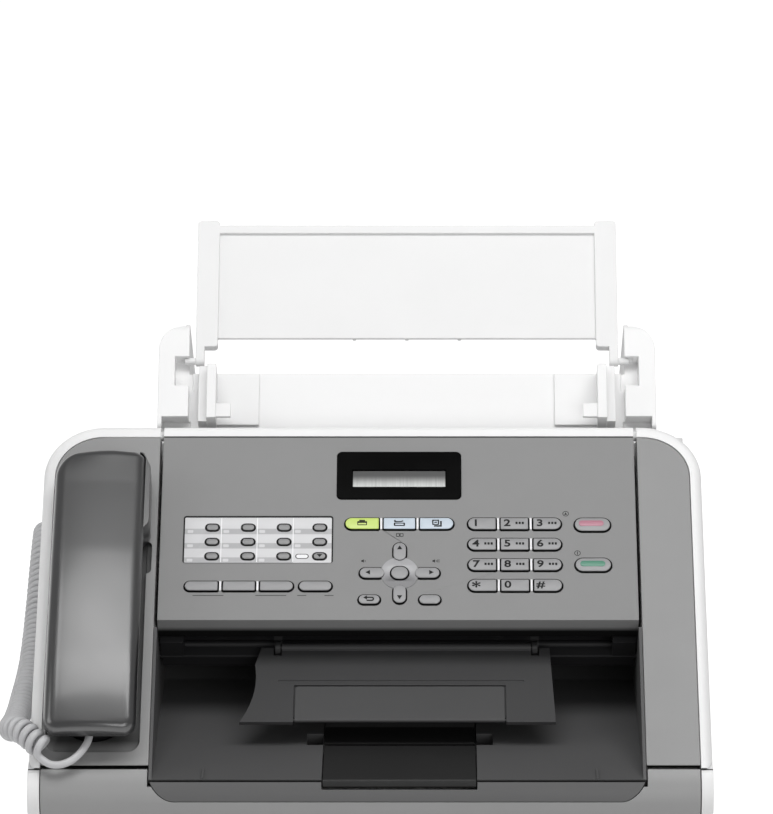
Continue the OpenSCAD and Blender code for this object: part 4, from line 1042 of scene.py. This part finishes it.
@dataclass
class KeyBank:
    """Every key of the panel, as pillow-shaped caps with their printed signs."""

    rise: float = 1.3
    fillet: float = 0.5
    dome: float = 0.25
    columns: tuple[float, ...] = (60.9, 78.9, 97.0)
    rows: tuple[float, ...] = (157.5, 143.9, 130.4, 116.8)
    one_touch_x: tuple[float, ...] = (-88.6, -68.7, -48.8, -29.0)
    one_touch_t: tuple[float, ...] = (155.0, 145.5, 136.0)
    pad: Range = (15.8, 8.0)
    pad_ends: tuple[Range, ...] = ((3.9, 0.8), (0.8, 0.8), (0.8, 3.9))
    oval: tuple[float, ...] = (7.0, 4.3, 2.1, 2.1)
    mode_t: float = 157.6
    menu_t: float = 107.6
    hook_t: float = 116.4
    foot: float = -6.0
    mat_foot: float = -5.6
    digit: float = 6.1
    star: float = 8.8
    bar: Range = (13.8, 3.6)
    arrows: dict[str, Arrow] = field(default_factory=lambda: {
        "nav_up_key": Arrow.UP, "nav_down_key": Arrow.DOWN, "nav_left_key": Arrow.LEFT,
        "nav_right_key": Arrow.RIGHT})

    @property
    def icons(self) -> dict[str, list[np.ndarray]]:
        """Small pictures on four keys: a printer, a flatbed, two sheets, and a bent arrow.

        Returns:
            The outlines of each key's picture; an outline in an outline is a hole.
        """
        return {
            "mode_fax_key": [oblong(5.4, 2.6, 0.4, (0, -0.2)), oblong(4.4, 1.0, 0.1, (0, -0.5)),
                             oblong(3.2, 0.8, 0.1, (0, 1.6))],
            "mode_scan_key": [oblong(6.2, 2.1, 0.5, (0, -0.9)), oblong(4.6, 0.9, 0.2, (0, -0.9)),
                              np.array([[-3.1, 1.6], [-2.7, 0.5], [1.0, 0.5], [2.3, 1.1], [1.9, 1.7], [0.7, 1.2],
                                        [-1.9, 1.2], [-2.3, 2.1]])],
            "mode_copy_key": [oblong(3.8, 3.5, 0.2, (-0.5, 0.4)), oblong(2.4, 2.1, 0.1, (-0.5, 0.4)),
                              oblong(1.5, 0.7, 0.1, (-0.5, 0.4)),
                              np.array([[-1.4, -2.4], [2.9, -2.4], [2.9, 1.2], [2.0, 1.2], [2.0, -1.6], [-1.4, -1.6]])],
            "clear_key": [np.array([[-3.2, 0.8], [-1.2, 2.2], [-1.2, 1.3], [1.9, 1.3], [2.7, 0.6], [2.7, -0.7],
                                    [1.9, -1.4], [-1.4, -1.4], [-1.4, -0.6], [1.4, -0.6], [1.9, -0.3], [1.9, 0.3],
                                    [1.4, 0.5], [-1.2, 0.5], [-1.2, -0.5]])]}

    def keys(self) -> list[Key]:
        """Lists the keys that move one by one.

        Returns:
            The keys, in the order in which they are made.
        """
        names = [f"key_{i}" for i in range(1, 10)] + ["key_star", "key_0", "key_hash"]
        pad = [Key(names[i], self.columns[i % 3], self.rows[i // 3], *self.pad, *self.pad_ends[i % 3], sign)
               for i, sign in enumerate("123456789*0#")]
        x, t = NAV_X, NAV_T
        return pad + [
            Key("mode_fax_key", -5.6, self.mode_t, 19.0, 7.8, 3.8, 0.8, finish=KEY_LIT),
            Key("mode_scan_key", 15.1, self.mode_t, 18.0, 7.8, 0.8, 0.8, finish=KEY_PALE),
            Key("mode_copy_key", 35.7, self.mode_t, 19.0, 7.8, 0.8, 3.8, finish=KEY_PALE),
            Key("nav_up_key", x, t + NAV_REACH, 8.4, 12.0, 4.1, 4.1, trim=0.7),
            Key("nav_down_key", x, t - NAV_REACH, 8.4, 12.0, 4.1, 4.1, trim=0.7),
            Key("nav_left_key", x - 15.2, t, 14.0, 7.2, 3.5, 3.5),
            Key("nav_right_key", x + 15.2, t, 14.0, 7.2, 3.5, 3.5),
            Key("ok_key", x, t, 9.8, 8.6, 4.2, 4.2),
            Key("clear_key", -1.4, self.menu_t, 12.0, 6.2, 3.0, 3.0),
            Key("menu_key", 31.9, self.menu_t, 12.0, 6.2, 3.0, 3.0),
            Key("stop_key", 122.2, 156.9, 20.0, 9.0, 4.4, 4.4),
            Key("start_key", 122.2, 130.3, 20.0, 9.0, 4.4, 4.4),
            Key("hook_key", -93.9, self.hook_t, 18.6, 6.5, 3.1, 0.8),
            Key("redial_key", -73.2, self.hook_t, 18.2, 6.5, 0.8, 0.8),
            Key("resolution_key", -52.5, self.hook_t, 18.6, 6.5, 0.8, 3.1),
            Key("options_key", -31.1, self.hook_t, 18.2, 6.5, 3.1, 3.1)]

    def cap_grid(self, key: Key, foot: float) -> np.ndarray:
        """Rings of one cap.

        The outline goes up the side, in by a quarter circle at the edge, and then shrinks to the middle while the
        top rises by a parabola.

        Args:
            key: The key.
            foot: Height of the lowest ring.

        Returns:
            Points in X, t, h millimetres, of shape (rings, points, 3).
        """
        a = np.linspace(0.0, math.pi / 2, 6)
        flat = self.rise - self.dome
        inset = np.concatenate([[0.0], self.fillet * (1 - np.cos(a))])
        height = np.concatenate([[foot], flat - self.fillet + self.fillet * np.sin(a)])
        least, w, d = 0.05, key.w - 2 * key.trim, key.d - 2 * min(key.trim, 0.3)
        rings = []
        for step, h in zip(inset, height):
            left, right = (max(least, r - key.trim - step) for r in (key.left, key.right))
            outline = oblong(w - 2 * step, d - 2 * step, left, right=right)
            rings.append(np.column_stack([outline, np.full(len(outline), h)]))
        last = rings[-1]
        for s in (0.8, 0.6, 0.4, 0.2, 0.02):
            top = last * np.array([s, s, 1.0])
            top[:, 2] = flat + self.dome * (1 - s * s)
            rings.append(top)
        return np.stack(rings) + np.array([key.x, key.t, 0.0])

    def cap(self, key: Key) -> None:
        """Makes one cap and its printed sign.

        Args:
            key: The key.
        """
        mount(surface(key.node + "_cap", on_top(self.cap_grid(key, self.foot))), key.finish, key.node, key.node)
        if key.sign:
            size, low = (self.star, 1.5) if key.sign == "*" else (self.digit, 0.0)
            left = key.x - (3.4 if key.left > 1 else 4.0)
            sign = printed_text(key.node + "_sign", key.sign, size, (left, key.t - low, self.rise - 0.02))
            mount(sign, INK, key.node)
            if key.sign in "23456789":
                dots = [oblong(1.2, 1.5, 0.3, (left + 5.2 + 1.75 * k, key.t + 0.1)) for k in range(3)]
                self.print_on(key.node, key.node + "_dots", dots, -0.2, 0.01)
        if key.node in self.arrows:
            self.arrow(key)
        if key.node in self.icons:
            icon = [np.array([key.x, key.t]) + shape for shape in self.icons[key.node]]
            self.print_on(key.node, key.node + "_sign", icon)

    def arrow(self, key: Key) -> None:
        """Prints a small solid triangle, near the key's outer end, that points the key's way.

        Args:
            key: The key.
        """
        turn = self.arrows[key.node].value
        corners = np.array([[1.4, 0.0], [-1.1, 1.45], [-1.1, -1.45]]) + np.array([2.2, 0.0])
        spin = np.array([[math.cos(turn), math.sin(turn)], [-math.sin(turn), math.cos(turn)]])
        self.print_on(key.node, key.node + "_sign", [corners @ spin + np.array([key.x, key.t])])

    def print_on(self, node: str, name: str, outlines: Sequence[np.ndarray], low: float = -0.1,
                 high: float = 0.03) -> None:
        """Inks a flat sign on a key, between two heights above the key's top."""
        mount(flat_shape(name, outlines, self.rise + low, self.rise + high), INK, node)

    def inset(self, node: str, middle: Range, finish: Plastic) -> None:
        """Sets a coloured bar into the top of a key."""
        outline = oblong(*self.bar, 1.75, middle)
        mount(flat_shape(node + "_bar", [outline], self.rise - 0.7, self.rise + 0.1, 0.1), finish, node)

    def one_touch(self) -> None:
        """Makes the twelve small oval keys, which share one rubber mat."""
        grids = [self.cap_grid(Key("", x, t, *self.oval), self.mat_foot)
                 for t in self.one_touch_t for x in self.one_touch_x]
        parts = [surface("one_touch_part", on_top(grid)) for grid in grids]
        with bpy.context.temp_override(active_object=parts[0], selected_editable_objects=parts,
                                       selected_objects=parts, object=parts[0]):
            bpy.ops.object.join()
        parts[0].name = "one_touch_caps"
        mount(parts[0], KEY_DARK, "one_touch_keys", "one_touch_keys")
        x, t = self.one_touch_x[-1], self.one_touch_t[-1]
        mark = np.array([[x - 1.5, t + 0.9], [x, t - 1.0], [x + 1.5, t + 0.9]])
        self.print_on("one_touch_keys", "one_touch_mark", [mark])

    def build(self) -> None:
        """Makes all the keys."""
        for key in self.keys():
            self.cap(key)
        self.inset("stop_key", (121.6, 157.4), STOP_RED)
        self.inset("start_key", (121.9, 130.7), START_GREEN)
        self.one_touch()
        LOG.info("keys")


@dataclass
class ControlPanel:
    """The hinged panel: its skin, the label card round the one-touch keys, the silver disc and the display."""

    card: tuple[float, float, float, float] = (-103.9, -22.4, 131.8, 161.7)
    disc_r: float = 10.5
    line_mm: float = 0.35
    film: tuple[float, float, float, Range] = (51.6, 10.8, 0.4, (14.85, 188.15))
    opening: Range = (5.2, 7.4)
    opening_h: Range = (-3.4, 0.25)
    slimmer: float = 0.87

    def build(self) -> None:
        """Makes the panel's pieces."""
        self.narrow(skin("control_panel", PANEL, "control_panel", 0.2, even=True).data)
        self.dividers()
        self.label_card()
        self.silver_disc()
        self.rules()
        self.display()
        LOG.info("control panel")

    def narrow(self, mesh: bpy.types.Mesh) -> None:
        """Draws in the openings of the two upright direction keys, which are slimmer than their nodes.

        Args:
            mesh: The panel's mesh.
        """
        points = points_of(mesh)
        y, z = points[:, 1] / MM - SEAM_Y, points[:, 2] / MM - SEAM_Z
        t, h = y * math.cos(SLOPE) + z * math.sin(SLOPE), z * math.cos(SLOPE) - y * math.sin(SLOPE)
        x = points[:, 0] / MM - NAV_X
        near = (np.abs(x) < self.opening[0]) & (np.abs(np.abs(t - NAV_T) - NAV_REACH) < self.opening[1])
        near &= (h > self.opening_h[0]) & (h < self.opening_h[1])
        points[near, 0] = (NAV_X + x[near] * self.slimmer) * MM
        mesh.vertices.foreach_set("co", points.ravel())
        mesh.update()

    def dividers(self) -> None:
        """Sets a pale upright rib into each gap between two keys that stand in one strip."""
        bank = KeyBank()
        spots = [(x, t, 7.4) for t in bank.rows for x in (69.9, 87.95)]
        spots += [(x, bank.mode_t, 7.2) for x in (5.0, 25.15)] + [(x, bank.hook_t, 5.9) for x in (-83.45, -62.95)]
        ribs = [oblong(1.15, d, 0.2, (x, t + 0.1)) for x, t, d in spots]
        self.lay("key_dividers", ribs, -0.6, 0.7, LABEL_WHITE, 0.1)

    def lay(self, name: str, outlines: Sequence[np.ndarray], h0: float, h1: float, finish: Finish,
            round_mm: float = 0.0) -> None:
        """Lays a flat shape on the panel; its height and rounding are those of flat_shape."""
        mount(flat_shape(name, outlines, h0, h1, round_mm), finish, "control_panel")

    def label_card(self) -> None:
        """Makes the pale card under the one-touch keys: a dark border, the card, and its fields and lines."""
        x0, x1, t0, t1 = self.card
        middle, w, d = ((x0 + x1) / 2, (t0 + t1) / 2), x1 - x0, t1 - t0
        bank = KeyBank()
        spots = [(x, t) for t in bank.one_touch_t for x in bank.one_touch_x]
        holes = [oblong(7.4, 4.7, 2.3, spot, steps=5) for spot in spots]
        border = oblong(w + 1.6, d + 1.3, 1.6, (middle[0], middle[1] + 0.6))
        inner = oblong(w, d, 0.9, middle)
        self.lay("card_border", [border, inner], 0.0, 0.22, INK)
        self.lay("label_card", [inner] + holes, 0.2, 0.38, PAPER_LABEL, 0.05)
        # The black rings round the keys' holes are painted shade, standing in for the shadowed gap round each key.
        rings = [oblong(8.5, 5.6, 2.75, spot, steps=5) for spot in spots] + holes
        self.lay("card_hole_shade_rings", rings, 0.3, 0.43, INK)
        fields = [oblong(3.2, 1.9, 0.5, (x - 12.2, t - 2.5)) for x, t in spots]
        lines = [oblong(0.5, d - 0.8, 0.1, (x + 5.0, middle[1])) for x in bank.one_touch_x[:-1]]
        self.lay("card_fields", fields, 0.3, 0.41, LABEL_PATCH)
        self.lay("card_lines", lines, 0.3, 0.42, LABEL_WHITE)
        tag = (bank.one_touch_x[2] + 10.1, bank.one_touch_t[-1])
        tag_edge, tag_field = oblong(7.4, 3.2, 1.6, tag), oblong(6.4, 2.4, 1.2, tag)
        self.lay("card_tag_line", [tag_edge, tag_field], 0.3, 0.44, INK)
        self.lay("card_tag", [tag_field], 0.3, 0.43, LABEL_WHITE)

    def silver_disc(self) -> None:
        """Makes the pale disc behind the middle key, with that key's opening in it."""
        nav = (NAV_X, NAV_T)
        self.lay("nav_disc", [circle(self.disc_r, nav, 72), oblong(10.9, 9.7, 4.7, nav)], 0.12, 0.3, SILVER, 0.05)

    def rules(self) -> None:
        """Prints the thin lines under the left keys, and small generic marks beside the round keys."""
        lines = [oblong(w, self.line_mm, 0.1, (x, 110.6))
                 for x, w in ((-90.0, 17.0), (-55.5, 17.0), (-38.5, 5.0), (-23.5, 5.0))]
        for spot in ((107.5, 164.6), (113.6, 138.4)):
            lines += [circle(1.75, spot, 32), circle(1.4, spot, 32)]
        lines.append(oblong(0.45, 2.0, 0.1, (113.6, 138.4)))
        lines.append(np.array([[106.7, 163.9], [108.3, 163.9], [107.5, 165.5]]))
        for x in (NAV_X - 1.05, NAV_X + 1.05):
            lines += [oblong(2.0, 2.2, 0.3, (x, NAV_T + 25.4)), oblong(1.3, 1.5, 0.2, (x, NAV_T + 25.4))]
        horn = np.array([[-0.9, -0.5], [-0.3, -0.5], [0.5, -1.1], [0.5, 1.1], [-0.3, 0.5], [-0.9, 0.5]])
        for x, waves in ((NAV_X - 20.3, 1), (NAV_X + 19.0, 3)):
            lines.append(horn + np.array([x, NAV_T + 8.2]))
            for k in range(waves):
                lines.append(oblong(0.3, 1.3 + 0.5 * k, 0.1, (x + 1.2 + 0.75 * k, NAV_T + 8.2)))
        for k, group in enumerate(self.apart(lines)):
            self.lay(f"printed_mark_{k}", group, 0.0, 0.05, INK)

    @staticmethod
    def apart(outlines: Sequence[np.ndarray]) -> list[list[np.ndarray]]:
        """Groups outlines so that those whose middles lie within 2 mm, such as a ring and its hole, stay together.

        Args:
            outlines: The outlines.

        Returns:
            Lists of outlines, each for one mark.
        """
        groups: list[list[np.ndarray]] = []
        for outline in outlines:
            near = [g for g in groups if np.linalg.norm(g[0].mean(axis=0) - outline.mean(axis=0)) < 2.0]
            if near:
                near[0].append(outline)
            else:
                groups.append([outline])
        return groups

    def display(self) -> None:
        """Dresses the black window and lays the crystal in it."""
        skin("display_window", DISPLAY_BLACK, "control_panel", 0.25)
        self.lay("display_film", [oblong(*self.film)], -0.62, -0.5, LiquidCrystal())


@dataclass(frozen=True)
class Shell:
    """A CAD node that is shown through a smooth skin: its finish, edge rounding and body."""

    node: str
    finish: Plastic
    edge_mm: float = 0.4
    body: str = "root"


@dataclass
class Housings:
    """The case, trays, covers, supports and guides."""

    shells: tuple[Shell, ...] = (
        Shell("base_frame", WHITE_BASE), Shell("upper_housing", WHITE_CASE, 0.25),
        Shell("left_side_cover", WHITE_CASE), Shell("right_side_cover", WHITE_CASE),
        Shell("document_tray", WHITE_CASE), Shell("handset_cradle", GREY_DECK, 0.2),
        Shell("right_deck", GREY_DECK), Shell("output_tray", TRAY_DARK, 0.15),
        Shell("scanner_frame", FRAME_BLACK, 0.2), Shell("toner_cartridge", FRAME_BLACK, 0.0),
        Shell("front_cover", FRONT_GREY, body="front_cover"), Shell("tray_lip", LIP_DARK, 0.15, "front_cover"),
        Shell("manual_feed_cover", FRONT_GREY, body="manual_feed_cover"),
        Shell("paper_cassette", FRONT_GREY, 0.15, "paper_cassette"),
        Shell("rear_cover", WHITE_BASE, 0.2, "rear_cover"), Shell("output_flap", FLAP_DARK, 0.25, "output_flap"),
        Shell("document_output_support", PLATE_DARK, 0.2, "document_output_support"),
        Shell("document_output_flap", PLATE_FLAP, 0.15, "document_output_flap"),
        Shell("document_guide_left", GUIDE_WHITE, 0.3, "document_guide_left"),
        Shell("document_guide_right", GUIDE_WHITE, 0.3, "document_guide_right"),
        Shell("document_support", SUPPORT_WHITE, 0.3, "document_support"),
        Shell("rubber_feet", RUBBER, 0.0), Shell("feed_roller", RUBBER, 0.0, "feed_roller"),
        Shell("power_switch", FRAME_BLACK, 0.3, "power_switch"))

    def build(self) -> None:
        """Skins and dresses each node."""
        for shell in self.shells:
            skin(shell.node, shell.finish, shell.body, shell.edge_mm)
        LOG.info("%d housings", len(self.shells))


def main() -> None:
    """Builds the studio and every sub-assembly, in order."""
    logging.basicConfig(level=logging.INFO, format="%(name)s: %(message)s")
    Studio().build()
    for assembly in (CurlyCord(), Handset(), KeyBank(), ControlPanel(), Housings()):
        assembly.build()
        LOG.info("built %s", type(assembly).__name__)


if __name__ == "__main__":
    main()
